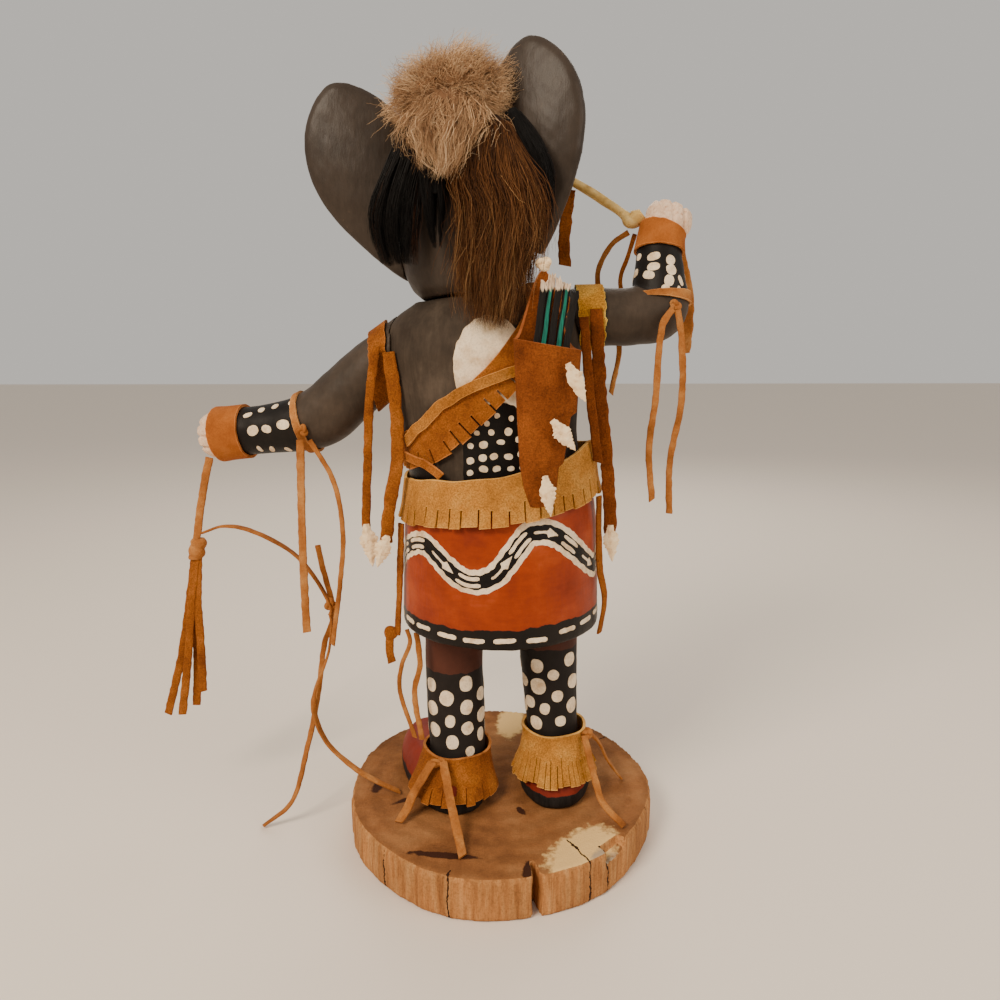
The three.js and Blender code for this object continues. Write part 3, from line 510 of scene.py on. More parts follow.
# arms with carved fists
armStations = {"left": [(-43, 1.2, 275, 15.4, 15.4), (-66, 4, 258.5, 15.8, 15.5), (-81, 6, 246, 16, 15.5),
    (-95, 8, 234.5, 16.2, 15), (-110, 10.5, 229.5, 14.4, 14), (-128, 14, 226.8, 13.2, 13),
    (-146, 17.5, 224.5, 13, 12.6), (-156, 20.1, 223.2, 13.2, 12.4), (-162, 21.4, 222.7, 10.5, 10)],
    "right": [(37, 0, 285.5, 15.2, 15), (53, 0, 286.2, 14.8, 14.8), (69, 0.5, 286.6, 14.6, 14.5),
    (82, 2.5, 290, 15.4, 14.6), (83, 5.5, 305, 13.4, 13.4), (83.5, 9.5, 318.5, 11.6, 11.6),
    (85.5, 13, 330, 10.6, 10.8), (89, 15.6, 336.5, 12.6, 12), (91.2, 17, 341.4, 11, 10.5)]}
fist = {"groove": 1.3, "width": 0.75, "gaps": (-6.2, 0, 6.2)}
greyPaint = paintedLook("greyPaint", rgb(56, 47, 40), rgb(96, 78, 60), (1, 1, 0.3), 0.66, 0.4)
forearm = {"left": (0.447, 0.8), "right": (0.425, 0.72)}


def arcShare(stations, share):  # a share of the stations' count as a share of the limb's length
    p = np.array(stations)[:, :3]
    run = np.concatenate([[0], np.cumsum(np.linalg.norm(np.diff(p, axis=0), axis=1))])
    return float(np.interp(share * (len(stations) - 1), range(len(stations)), run) / run[-1])


def armLook(side):  # grey upper arm, black forearm, pale hand
    look, tree, shader, coords = startLook(side + "ArmPaint", 0.5)
    share = numberOf(tree, "limbShare")
    brush = noiseAt(tree, stretched(tree, coords, (1, 1, 0.3)), 420, 6, 0.65)
    cloud = noiseAt(tree, coords, 45, 5, 0.6)
    fleck = noiseAt(tree, coords, 700, 4, 0.6)
    upper = ramp(tree, cloud, [(0.3, rgb(46, 38, 31)), (0.7, rgb(72, 60, 50))])
    black = ramp(tree, cloud, [(0.3, rgb(12, 9, 8)), (0.7, rgb(30, 24, 20))])
    hand = ramp(tree, fleck, [(0.28, rgb(166, 120, 90)), (0.4, rgb(216, 180, 150)), (0.7, rgb(236, 208, 180))])
    first, second = (arcShare(armStations[side], s) for s in forearm[side])
    toBlack = past(tree, share, first, 300)
    toHand = past(tree, share, second, 300)
    tone = mixed(tree, toHand, mixed(tree, toBlack, upper, black), hand)
    tree.links.new(shaded(tree, tone, brush, 0.35, 0.88, 0.7, 1.1), shader.inputs["Base Color"])
    bumped(tree, shader, brush, 0.3, 0.0005)
    return look


arms = {}
for side, stations in armStations.items():
    arm = carved(side + "ArmCarved", [closedTube(limbRings(stations, 70, 60))], grainSize["arm"], 4, [trunkCutter])
    p = pointsOf(arm)
    end = np.array(stations[-2][:3])
    along = np.array(stations[-1][:3]) - np.array(stations[-3][:3])
    along /= np.linalg.norm(along)
    finger = p[:, 2] - end[2] if side == "left" else p[:, 0] - end[0]
    inFist = np.clip(((p - end) @ along + 7) / 3, 0, 1)
    dent = sum(np.exp(-((finger - gap) / fist["width"]) ** 2) for gap in fist["gaps"])
    pushed(arm, 0.14 * ripple(p, 20, 3) + 0.05 * ripple(p, 7, 4) - fist["groove"] * dent * inFist)
    middle = flowLine(stations, 240)[:, :3]
    share = np.argmin(((p[:, None] - middle[None]) ** 2).sum(2), 1) / 239
    marked(arm.data, "limbShare", share)
    arms[side] = finished(arm, armLook(side), [side + "_arm"])
print("stage: arms")

# head: a mask with a short snout
headPlace = {"at": (-15, -1, 299), "turn": -16, "lean": -8}


def turned(points, at, turn=0, lean=0):
    a, b = math.radians(turn), math.radians(lean)
    spin = np.array([[math.cos(a), -math.sin(a), 0], [math.sin(a), math.cos(a), 0], [0, 0, 1]])
    tip = np.array([[math.cos(b), 0, math.sin(b)], [0, 1, 0], [-math.sin(b), 0, math.cos(b)]])
    return np.asarray(points) @ (spin @ tip).T + np.array(at)


def onHead(shape):
    return turned(shape[0], **headPlace), shape[1]


def headShape(grow=0.0):
    profile = np.array([(-1.5, 24, 23), (3, 28.5, 27.5), (11, 31.5, 30), (22, 32.5, 31), (40, 31.5, 31.5),
        (56, 30.5, 31), (68, 27, 28.5), (78, 21, 23), (85, 13, 14), (88, 5.5, 6)])
    heights = np.linspace(-1.5, 88, 70)
    a = roundAngles(72)
    rings = []
    for z in heights:
        rx, ry = (softLerp(z, profile[:, 0], profile[:, k], 3.0) + grow for k in (1, 2))
        rings.append(np.stack([rx * np.cos(a), ry * np.sin(a),
            np.full(72, z + grow * (1 if z > 60 else -1 if z < 0 else 0))], 1))
    return closedTube(rings)


def snoutShape():
    stations = [(0, 20, 28, 15, 15), (0, 30, 27, 14, 14), (0, 42, 25, 11.5, 11.5), (0, 52, 23.5, 9.5, 9.5),
        (0, 56, 23, 6.5, 6.5)]
    return closedTube(limbRings(stations, 30, 40))


eye = {"radius": 4.2, "depth": 2.94, "aside": 13, "forward": 27.6, "high": 50}


def eyeShape(side):
    a = roundAngles(24)
    rings = []
    for t in np.linspace(-1.45, 1.45, 15):
        across, upward = np.cos(a) * eye["radius"] * math.cos(t), np.sin(a) * eye["radius"] * math.cos(t)
        rings.append(np.stack([across, np.full(24, eye["depth"] * math.sin(t)), upward], 1))
    points, faces = closedTube(rings)
    return points + np.array([side * eye["aside"], eye["forward"], eye["high"]]), faces


headCutter = meshOf("headCutter", [onHead(headShape(0.25))])
head = carved("carvedHead", [onHead(headShape()), onHead(snoutShape()), onHead(eyeShape(-1)), onHead(eyeShape(1))],
    grainSize["head"], 3, [trunkCutter])
p = pointsOf(head)
pushed(head, 0.16 * ripple(p, 22, 5) + 0.05 * ripple(p, 8, 6))
finished(head, greyPaint, ["head"])

# ears: thin carved plates, hollow in front
earSize = {"length": 101, "width": 54, "edge": 3.2, "hollow": -3.5, "swell": -5.5}
earPlaces = {"left": {"at": (-44.1, 3, 303), "turn": 4, "lean": -22.3},
    "right": {"at": (20.5, -8, 316.4), "turn": -31, "lean": -4.2}}


def earShape():
    a = roundAngles(110)
    share = (1 - np.cos(a)) / 2
    half = earSize["width"] / 2 * np.maximum(np.sin(np.pi * share ** 1.43), 0) ** 0.57
    outline = np.stack([np.sign(np.sin(a)) * half, share * earSize["length"]], 1)
    middle = outline.mean(0)
    rings = []
    for sign, bulge, levels in ((1, earSize["hollow"], np.linspace(0.04, 1, 16)),
            (-1, earSize["swell"], np.linspace(1, 0.04, 16))):
        for s in levels:
            edge = sign * earSize["edge"] * (0.5 + 0.5 * min(1, (1 - s) / 0.07))
            flat = middle + (outline - middle) * s
            rings.append(np.stack([flat[:, 0], np.full(110, edge + bulge * (1 - s * s)), flat[:, 1]], 1))
    return closedTube(rings)


for side, where in earPlaces.items():
    shape = earShape()
    ear = carved(side + "EarCarved", [(turned(shape[0], **where), shape[1])], grainSize["ear"], 3,
        [headCutter, trunkCutter])
    p = pointsOf(ear)
    pushed(ear, 0.18 * ripple(p, 18, 7) + 0.05 * ripple(p, 6, 8))
    finished(ear, greyPaint, [side + "_ear"])
print("stage: head and ears")
drop(headCutter)

# the log slice
log = {"voxel": 1.05, "radius": 87, "sideGrain": 0.28, "topGrain": 0.12}
# marks on its top: x, y, turn, length, width, softness; and its cracks: angle, start, end, half width
logMarks = {"pale": [(40, -66, 48, 26, 13, 0.25), (9, 70, 83, 22, 10, 0.3)], "raw": [(52, -72, 48, 13, 7, 0.3)],
    "dark": [(13, -82, 80, 9, 3.6, 0.25), (-30, -69, 172, 19, 2.6, 0.2), (11, -32, 120, 4.5, 2.2, 0.2),
    (-70, -7, 80, 6, 3.6, 0.3), (-52, -20, 30, 9, 2, 0.4)]}
logCracks = [(-107.4, 84, 100, 0.45), (-52, 80, 100, 0.6), (-134, 86, 100, 0.35), (-20, 84, 100, 0.4),
    (35, 78, 100, 0.5), (110, 80, 100, 0.45), (160, 84, 100, 0.35), (-60, 66, 88, 0.5)]


def solidOf(name, node):  # the CAD node's own shape as a welded mesh, to work on
    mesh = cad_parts[node].data.copy()
    copy = bpy.data.objects.new(name, mesh)
    bpy.context.scene.collection.objects.link(copy)
    weld = copy.modifiers.new("weld", "WELD")
    weld.merge_threshold = 1e-6
    return settled(copy)


def logLook():
    look, tree, shader, coords = startLook("logWood", 0.85)
    normal = place(tree, "ShaderNodeSeparateXYZ", {"Vector": place(tree,
        "ShaderNodeNewGeometry").outputs["Normal"]}).outputs
    xyz = place(tree, "ShaderNodeSeparateXYZ", {"Vector": coords}).outputs
    flat = maths(tree, "GREATER_THAN", maths(tree, "ABSOLUTE", normal["Z"]), 0.72)
    upright = noiseAt(tree, stretched(tree, coords, (1, 1, 0.09)), 330, 7, 0.7)
    broad = noiseAt(tree, stretched(tree, coords, (1, 1, 0.3)), 60, 5, 0.6)
    cloud = noiseAt(tree, coords, 30, 6, 0.65)
    fine = noiseAt(tree, coords, 900, 4, 0.7)
    rings = place(tree, "ShaderNodeTexWave", {"Vector": stretched(tree, coords, (1, 1, 0.05)), "Scale": 26.0,
        "Distortion": 2.2, "Detail": 3.0, "Detail Scale": 12.0}, wave_type="RINGS",
        rings_direction="Z").outputs["Fac"]
    side = ramp(tree, upright, [(0.3, rgb(134, 84, 44)), (0.48, rgb(172, 116, 66)), (0.72, rgb(200, 148, 94))])
    side = shaded(tree, side, broad, 0.3, 0.72, 0.65, 1.08)
    side = shaded(tree, side, fine, 0.3, 0.7, 0.55, 1.1)
    top = ramp(tree, cloud, [(0.28, rgb(98, 58, 31)), (0.5, rgb(136, 87, 48)), (0.75, rgb(164, 114, 70))])
    top = shaded(tree, top, rings, 0.2, 0.9, 0.8, 1.05)
    top = shaded(tree, top, fine, 0.3, 0.86, 0.7, 1.1)
    wobble = noiseAt(tree, coords, 210, 5, 0.65)
    bend = noiseAt(tree, coords, 120, 4, 0.6, "Color")

    def spotMask(x, y, turn, long, wide, soft):  # an uneven patch on the top, long by wide in mm, turned in degrees
        spot = place(tree, "ShaderNodeMapping", {"Vector": coords, "Location": (x * mm, y * mm, 0.0235),
            "Rotation": (0, 0, math.radians(turn)), "Scale": (long * mm, wide * mm, 0.02)},
            vector_type="TEXTURE").outputs["Vector"]
        far = vectorMaths(tree, "LENGTH", spot, output="Value")
        near = maths(tree, "SUBTRACT", 1.6, maths(tree, "ADD", far, maths(tree, "MULTIPLY", wobble, 1.1)))
        return ramp(tree, near, [(0.0, grey(0)), (soft, grey(1))])

    def crackMask(angle, inner, outer, wide):  # a split that runs out from the middle
        a = math.radians(angle)
        bent = vectorMaths(tree, "SUBTRACT", bend, (0.5, 0.5, 0.5))
        bent = vectorMaths(tree, "SCALE", bent, scale=0.006)
        bent = vectorMaths(tree, "ADD", coords, bent)
        beside = vectorMaths(tree, "DOT_PRODUCT", bent, (math.sin(a), -math.cos(a), 0), output="Value")
        ahead = vectorMaths(tree, "DOT_PRODUCT", bent, (math.cos(a), math.sin(a), 0), output="Value")
        thin = maths(tree, "LESS_THAN", maths(tree, "ABSOLUTE", beside), wide * mm)
        long = maths(tree, "MULTIPLY", maths(tree, "GREATER_THAN", ahead, inner * mm),
            maths(tree, "LESS_THAN", ahead, outer * mm))
        return maths(tree, "MULTIPLY", thin, long)

    for kind, colour in (("pale", rgb(224, 184, 120)), ("raw", rgb(170, 148, 120)), ("dark", rgb(58, 30, 16))):
        for mark in logMarks[kind]:
            top = mixed(tree, spotMask(*mark), top, colour)
    wood = mixed(tree, flat, side, top)
    for crack in logCracks:
        wood = mixed(tree, crackMask(*crack), wood, rgb(44, 24, 13))
    tree.links.new(wood, shader.inputs["Base Color"])
    relief = mixed(tree, flat, upright, fine)
    bumped(tree, shader, relief, 0.55, 0.0012)
    return look


logCopy = smoothed(fused(solidOf("logSlice", "base"), log["voxel"]), 3)
p = pointsOf(logCopy)
radius = np.hypot(p[:, 0], p[:, 1])
around = np.arctan2(p[:, 1], p[:, 0]) * log["radius"]
onSide = np.clip((radius - 82) / 3, 0, 1) * np.clip(p[:, 2] / 2, 0, 1)
grain = ripple(np.stack([around, p[:, 2] * 0.05, around * 0], 1), 3.2,
    11) + 0.7 * ripple(np.stack([around, p[:, 2] * 0.08, around * 0], 1), 9, 12)
onTop = np.clip((p[:, 2] - 20) / 2, 0, 1)
pushed(logCopy, onSide * grain * log["sideGrain"] + onTop * (1 - onSide) * ripple(p, 7, 13) * log["topGrain"])
finished(logCopy, logLook(), ["base"])
print("stage: log", len(logCopy.data.polygons))

# leather shells: belt, bandolier, cuffs and bands
tanSuede = suedeLook("tanSuede", rgb(180, 120, 50), rgb(146, 92, 32), rgb(204, 150, 76))
brownSuede = suedeLook("brownSuede", rgb(144, 80, 26), rgb(108, 54, 16), rgb(172, 104, 42))
darkSuede = suedeLook("darkSuede", rgb(120, 60, 18), rgb(90, 42, 10), rgb(146, 78, 28))
goldSuede = suedeLook("goldSuede", rgb(160, 100, 38), rgb(124, 72, 24), rgb(188, 128, 60))
fuzzSuede = suedeLook("fuzzSuede", rgb(190, 132, 46), rgb(150, 96, 26), rgb(228, 178, 84), 1.3)
laceSuede = suedeLook("laceLeather", rgb(158, 96, 44), rgb(112, 62, 26), rgb(192, 136, 78), 0.4)
cuffLeather = suedeLook("cuffLeather", rgb(158, 88, 34), rgb(132, 68, 22), rgb(180, 110, 52), 0.35)


def leatherShell(inner, outer, present=None, closed=False):  # both (along, across, 3); cells may be missing
    nu, nv = inner.shape[:2]
    cells = nu if closed else nu - 1
    if present is None:
        present = np.ones((cells, nv - 1), bool)
    there = {(i, j) for i in range(cells) for j in range(nv - 1) if present[i, j]}
    far = nu * nv
    faces, cut = [], []
    for i, j in there:
        corners = [(i % nu) * nv + j, ((i + 1) % nu) * nv + j, ((i + 1) % nu) * nv + j + 1, (i % nu) * nv + j + 1]
        faces.append(tuple(far + c for c in corners))
        faces.append(tuple(reversed(corners)))
        sides = ((i, j - 1), ((i + 1) % cells if closed else i + 1, j), (i, j + 1),
            ((i - 1) % cells if closed else i - 1, j))
        for k, beside in enumerate(sides):
            if beside not in there:
                a, b = corners[k], corners[(k + 1) % 4]
                faces.append((far + b, far + a, a, b))
                cut += [a, b, far + a, far + b] if k % 2 == 0 else []
    points = np.vstack([inner.reshape(-1, 3), outer.reshape(-1, 3)])
    used = np.unique([v for f in faces for v in f])
    newNumber = np.full(len(points), -1)
    newNumber[used] = np.arange(len(used))
    rim = np.zeros(len(points))
    rim[cut] = 1
    return points[used], [tuple(newNumber[v] for v in f) for f in faces], rim[used]


def slitColumns(length, gap, width, seed, perTab=5, spread=0.28):  # places along an edge: (at, tab, isSlit after it)
    dice = np.random.default_rng(seed)
    tabs = max(1, round(length / gap))
    widths = dice.uniform(1 - spread, 1 + spread, tabs)
    widths *= length / widths.sum()
    ends = np.concatenate([[0], np.cumsum(widths)])
    at, tab, slit = [], [], []
    for n in range(tabs):
        inside = np.linspace(ends[n] + width / 2, ends[n + 1] - width / 2, perTab)
        at += list(inside)
        tab += [n] * perTab
        slit += [False] * (perTab - 1) + [True]
    return np.array(at), np.array(tab), np.array(slit), tabs


def slitCells(cells, slit, tab, depth, middles):  # which cells of a band hold leather, with its slits open
    present = np.ones((cells, len(middles)), bool)
    for i in np.flatnonzero(slit[:cells]):
        present[i] = middles > depth[tab[i]]
    return present


# lower edge first
belt = {"slitEvery": 7.6, "slitWidth": 0.8, "slitDepth": (5.5, 10.5), "curl": 1.1, "thick": 1.5,
    "halfWidths": (52.3, 49.6), "halfDepths": (51.8, 45.5), "lowEdge": 188.2, "highEdge": 211}


def beltShape():
    length = 2 * np.pi * 53
    at, tab, slit, tabs = slitColumns(length, belt["slitEvery"], belt["slitWidth"], 21, 7)
    dice = np.random.default_rng(22)
    depth = dice.uniform(*belt["slitDepth"], tabs) / 22
    curl = dice.uniform(-0.1, 1, tabs) * belt["curl"]
    dropBy = dice.uniform(-0.7, 0.9, tabs)
    shares = np.linspace(0, 1, 22)
    a = at / length * 2 * np.pi
    (wideLow, wideHigh), (deepLow, deepHigh) = belt["halfWidths"], belt["halfDepths"]
    rows = []
    for grow in (0, belt["thick"]):
        x = ((wideLow + (wideHigh - wideLow) * shares) + grow) * np.cos(a)[:, None]
        y = ((deepLow + (deepHigh - deepLow) * shares) + grow) * np.sin(a)[:, None]
        low = belt["lowEdge"] + 0.1 * x + 0.0015 * np.maximum(0, x) ** 2 - dropBy[tab][:,
            None] * np.clip(1 - shares * 4, 0, 1)
        flare = 6 * np.exp(-((np.degrees(a) - 332) / 16) ** 2)[:, None]
        high = belt["highEdge"] + 0.13 * x + 3 * np.maximum(0, np.cos(a))[:,
            None] ** 2 + flare + 0.5 * np.sin(a * 5 + 1)[:, None] + 0.3 * np.sin(a * 13)[:, None]
        out = curl[tab][:, None] * np.clip(1 - shares / 0.4, 0, 1) ** 2 + 0.35 * np.sin(a * 9)[:,
            None] * np.sin(shares * 3)
        z = low + (high - low) * shares
        rows.append(np.stack([x + out * np.cos(a)[:, None], y + out * np.sin(a)[:, None], z], -1))
    present = slitCells(len(at), slit, tab, depth, (shares[:-1] + shares[1:]) / 2)
    return leatherShell(rows[0], rows[1], present, True)


finished(meshOf("fringedBelt", [beltShape()]), tanSuede, ["belt"], 40)


def trunkBand(path, width, thick, lift, steps=160, rows=12, closed=False, fringe=None, seed=0, wave=0.4):
    line = flowLine([(a, z, 0) for a, z in path], 400)[:, :2]

    def at(a, z, lifted):
        around = (trunkPoint(a + 0.02, z) - trunkPoint(a - 0.02, z)) / 0.04
        upward = (trunkPoint(a, z + 1.5) - trunkPoint(a, z - 1.5)) / 3
        normal = np.cross(around, upward)
        normal /= np.linalg.norm(normal, axis=-1, keepdims=True)
        return around, upward, normal, trunkPoint(a, z) + normal * np.asarray(lifted)[..., None]

    a, z = np.radians(line[:, 0]), line[:, 1]
    around, upward, normal, spot = at(a, z, np.zeros(len(a)))
    along = np.gradient(spot, axis=0)
    run = np.concatenate([[0], np.cumsum(np.linalg.norm(np.diff(spot, axis=0), axis=1))])
    if fringe:
        places, tab, slit, tabs = slitColumns(run[-1], fringe["every"], fringe["width"], seed, 6)
        dice = np.random.default_rng(seed + 1)
        depth = dice.uniform(*fringe["depth"], tabs) / width
        longer = dice.uniform(-0.9, 1.0, tabs) * fringe.get("uneven", 1)
        curl = dice.uniform(-0.1, 1, tabs) * fringe.get("curl", 0.8)
    else:
        places = np.linspace(0, run[-1], steps, endpoint=not closed)
        tab, slit, depth, longer, curl = np.zeros(len(places), int), np.zeros(len(places),
            bool), [0], np.zeros(1), np.zeros(1)

    def pick(values):
        return np.stack([np.interp(places, run, values[:, k]) for k in range(values.shape[1])], 1)

    line, around, upward, normal, along = pick(np.stack([a, z],
        1)), pick(around), pick(upward), pick(normal), pick(along)
    along /= np.linalg.norm(along, axis=1, keepdims=True)
    side = np.cross(normal, along)
    side *= np.sign(side[:, 2:3] + 1e-9) if fringe else 1
    shares = np.linspace(-0.5, 0.5, rows)
    sheets = []
    for grow in (0, thick):
        u = np.repeat((shares * width)[None], len(places), 0)
        lower = np.clip(-shares * 2, 0, 1)[None] ** 2
        u = u - longer[tab][:, None] * lower + 0.35 * rippleAlong(places, 13, seed + 3)[:, None]
        angle = line[:, :1] + u * ((side * around).sum(1) / (around * around).sum(1))[:, None]
        height = line[:, 1:] + u * ((side * upward).sum(1) / (upward * upward).sum(1))[:, None]
        lifted = lift + grow + curl[tab][:, None] * lower + wave * (0.5 + 0.5
            * np.sin(places / 9 + 2 * np.sin(places / 31)))[:, None] * np.abs(shares * 2)[None]
        sheets.append(at(angle, height, lifted)[3])
    present = slitCells(len(places) - (not closed), slit, tab, depth, (shares[:-1] + shares[1:]) / 2 + 0.5)
    return leatherShell(sheets[0], sheets[1], present, closed)


bandolier = {"width": 18.5, "thick": 1.5, "lift": 0.8,
    "fringe": {"every": 8.0, "width": 0.85, "depth": (5, 8.5), "curl": 0.9}}
bandolierPath = [(180, 222), (208, 224), (230.5, 227.7), (243, 233.1), (256, 241.3), (268.8, 250.1), (279, 257.5),
    (290, 267), (302, 279), (316, 290), (336, 294.6), (360, 295.6), (384, 294.6), (404, 291), (418, 281), (428, 268),
    (438, 255), (452, 243.5), (470, 235), (492, 228), (512, 223.5), (530, 221.8), (540, 222)]
finished(meshOf("fringedBandolier", [trunkBand(bandolierPath, bandolier["width"], bandolier["thick"],
    bandolier["lift"], closed=True, fringe=bandolier["fringe"], seed=31)]), brownSuede, ["bandolier"],
    40)
strapPath = [(208, 228), (219, 233.5), (229, 238.6), (236, 242.5), (243.5, 247), (253, 250.8), (264, 254.7),
    (276, 257.8), (290, 260.5)]
finished(meshOf("bandolierStrap", [trunkBand(strapPath, 5.2, 1.2, 2.9, 90, 6, wave=0.2, seed=41)]), goldSuede,
    ["bandolier_strap"], 40)
tiePath = [(208, 221.5), (219, 219), (231, 215.5), (235, 213), (237.5, 210.8)]
finished(meshOf("waistTie", [trunkBand(tiePath, 4.2, 1.2, 4.3, 60, 6, wave=0.2, seed=51)]), brownSuede, ["waist_tie"],
    40)
print("stage: belt and bandolier")


def sleeveShape(stations, start, stop, thick=1.5, gap=0.35, sides=72, rows=12, seed=0, slope=None, ragged=0.4):
    last = len(stations) - 1
    count = 40 * last + 1
    shells = []
    noise = ripple(np.stack([np.cos(roundAngles(sides)) * 20, np.sin(roundAngles(sides)) * 20, np.zeros(sides)], 1),
        9, seed)
    for grow in (gap, gap + thick):
        rings = np.array(limbRings(stations, count, sides, grow))
        grid = np.empty((sides, rows, 3))
        for j in range(sides):
            line = rings[:, j]
            if slope is None:
                run = np.linspace(0, 1, count)
                lo, hi = start, stop
            else:
                run = -(line[:, 0] + slope * line[:, 2])
                keep = np.maximum.accumulate(run)
                run = keep + np.arange(count) * 1e-6
                lo, hi = -start, -stop
            edge = ragged * noise[j] * (hi - lo) * 0.1
            at = np.linspace(lo + edge, hi + ragged * noise[(j * 7) % sides] * (hi - lo) * 0.1, rows)
            grid[j] = np.stack([np.interp(at, run, line[:, k]) for k in range(3)], 1)
        shells.append(grid)
    return leatherShell(shells[0], shells[1], None, True)


def sleeveOn(side, start, stop, **more):
    stations = armStations[side]
    return sleeveShape(stations, arcShare(stations, start), arcShare(stations, stop), **more)


finished(meshOf("leftShoulderBand", [sleeveShape(armStations["left"], -33.3, -42.6, slope=0.09, seed=61)]),
    brownSuede, ["left_shoulder_band"], 40)
rightBand = meshOf("rightShoulderBand", [sleeveOn("right", 0.02, 0.122, seed=62)])
finished(trimmed(rightBand, [trunkCutter]), fuzzSuede, ["right_shoulder_band"], 40)
finished(meshOf("leftWristCuff", [sleeveOn("left", 0.69, 0.84, seed=63, ragged=0.12)]), cuffLeather,
    ["left_wrist_cuff"], 40)
finished(meshOf("rightWristCuff", [sleeveOn("right", 0.635, 0.76, seed=64, ragged=0.12)]), cuffLeather,
    ["right_wrist_cuff"], 40)


def knotShape(at, size, thick=0.36, seed=0):  # a real overhand knot: a thong wound through itself
    t = roundAngles(90)
    line = np.stack([np.sin(t) + 2 * np.sin(2 * t), np.cos(t) - 2 * np.cos(2 * t), -1.4 * np.sin(3 * t)], 1) / 3.0
    spin = seed * 1.3
    line = line @ np.array([[math.cos(spin), -math.sin(spin), 0], [math.sin(spin), math.cos(spin), 0], [0, 0, 1]])
    line = line[:, [0, 2, 1]] * (1 - thick) * np.array(size) + np.array(at)
    ring = roundAngles(10)
    rings = []
    for i in range(len(line)):
        along = line[(i + 1) % len(line)] - line[i - 1]
        along /= np.linalg.norm(along)
        side = np.cross(along, [0, 1, 0.01])
        side /= np.linalg.norm(side)
        over = np.cross(side, along)
        r = thick * min(size) * 0.95
        rings.append(line[i] + side * r * 1.25 * np.cos(ring)[:, None] + over * r * 0.8 * np.sin(ring)[:, None])
    return np.vstack(rings), gridFaces(len(rings), 10, True)


ties = meshOf("leftElbowTie", [sleeveOn("left", 0.432, 0.462, thick=1.3, rows=5, seed=65),
    knotShape((-102.5, -7.6, 228.6), (3.6, 2.2, 4.1), seed=1)])
finished(ties, laceSuede, ["left_elbow_tie"], 40)
ties = meshOf("rightElbowTie", [sleeveOn("right", 0.41, 0.44, thick=1.3, rows=5, seed=66),
    knotShape((88, -12, 291.5), (3.6, 2.6, 3.9), seed=2)])
finished(ties, laceSuede, ["right_elbow_tie"], 40)

ankles = {"left": {"node": "left_ankle_cuff", "stations": ((-26.3, -15.5, 31, 22.8), (-25.6, -12.5, 38, 20.4),
    (-24.6, -8, 47, 17.8), (-24, -7, 51, 17.8)), "every": 5.2, "depth": (0.15, 0.42)},
    "right": {"node": "right_ankle_cuff", "stations": ((31, -10, 37.5, 22.4), (31, -8, 47, 18.6), (31, -5, 57, 16.4),
    (30.6, -4.6, 61.5, 16.8)), "every": 3.0, "depth": (0.42, 0.6)}}


def ankleShape(cuff, seed):
    s = np.array(cuff["stations"])
    at, tab, slit, tabs = slitColumns(2 * np.pi * 20, cuff["every"], 0.35, seed, 5)
    dice = np.random.default_rng(seed + 1)
    depth = dice.uniform(*cuff["depth"], tabs)
    curl = dice.uniform(-0.3, 1.0, tabs) * 1.3
    longer = dice.uniform(-1.2, 1.2, tabs)
    a = (at / 20)[:, None]
    heights = np.linspace(0, 1, 20)
    z = s[0, 2] + (s[-1, 2] - s[0, 2]) * heights
    x, y, r = (softLerp(z, s[:, 2], s[:, k], 2.0) for k in (0, 1, 3))
    loose = np.clip(1 - heights / 0.45, 0, 1)[None] ** 1.5
    shells = []
    for grow in (0, 1.5):
        reach = r[None] + grow + curl[tab][:, None] * loose + 0.4 * np.sin(a * 6 + seed) * (1 - heights[None])
        down = z[None] - longer[tab][:, None] * loose + 0.4 * np.sin(a * 4) * heights[None] ** 4
        shells.append(np.stack([x[None] + reach * np.cos(a), y[None] + reach * np.sin(a), down], -1))
    present = slitCells(len(at), slit, tab, depth, (heights[:-1] + heights[1:]) / 2)
    return leatherShell(shells[0], shells[1], present, True)


for side, cuff in ankles.items():
    piece = meshOf(side + "AnkleCuff", [ankleShape(cuff, 71 if side == "left" else 81)])
    finished(piece, brownSuede if side == "left" else tanSuede, [cuff["node"]],
        40)
print("stage: cuffs and bands")

# quiver and what it holds
quiverStations = np.array([(198.5, 13.2, 22.1, -57, 2.9), (207, 10.3, 25.7, -56.2, 3.6), (217, 8.4, 26.8, -55, 4.6),
    (219, 8.2, 29, -54.8, 4.8), (241, 7, 32.2, -52.8, 6.2), (243, 6.9, 34.8, -52.6, 6.3),
    (273.5, 5.4, 36.8, -50.4, 8)])
quiver = {"wall": 1.5, "seam": 3.0, "flap": 33, "rimSlope": -0.17, "foot": 198.5, "height": 75}


def quiverShape():
    sides, rows = 120, 90
    a = roundAngles(sides)
    t = np.linspace(0, 1, rows)
    shells = []
    for inset in (quiver["wall"], 0.0):
        grid = np.empty((sides, rows + 1, 3))
        for n, share in enumerate(t):
            z = quiver["foot"] + share * quiver["height"]
            left, right, y, depth = (float(np.interp(z, quiverStations[:, 0], quiverStations[:, k])) for k in (1, 2,
                3, 4))
            half = (right - left - quiver["seam"]) / 2
            middle = left + half
            seam = np.maximum(0, np.cos(a)) ** 14 * (0 if inset else quiver["seam"])
            x = (half - inset) * np.cos(a) + seam
            rise = (quiver["rimSlope"] * x + quiver["flap"] * np.maximum(0, np.sin(a)) ** 4) * (share ** 2.2)
            sag = 0.5 * ripple(np.stack([x, np.sin(a) * 8, np.full(sides, z)], 1), 16,
                91) * math.sin(math.pi * min(1, share))
            grid[:, n + 1] = np.stack([middle + x, y + (depth - inset) * np.sin(a) + sag * 0.5,
                z + rise + (1 - share) * inset], 1)
        grid[:, 0] = grid[:, 1].mean(0)
        grid[:, 0] += (grid[:, 1] - grid[:, 0]) * 0.02
        shells.append(grid)
    return leatherShell(shells[0], shells[1], None, True)


finished(meshOf("leatherQuiver", [quiverShape()]), darkSuede, ["quiver"], 50)


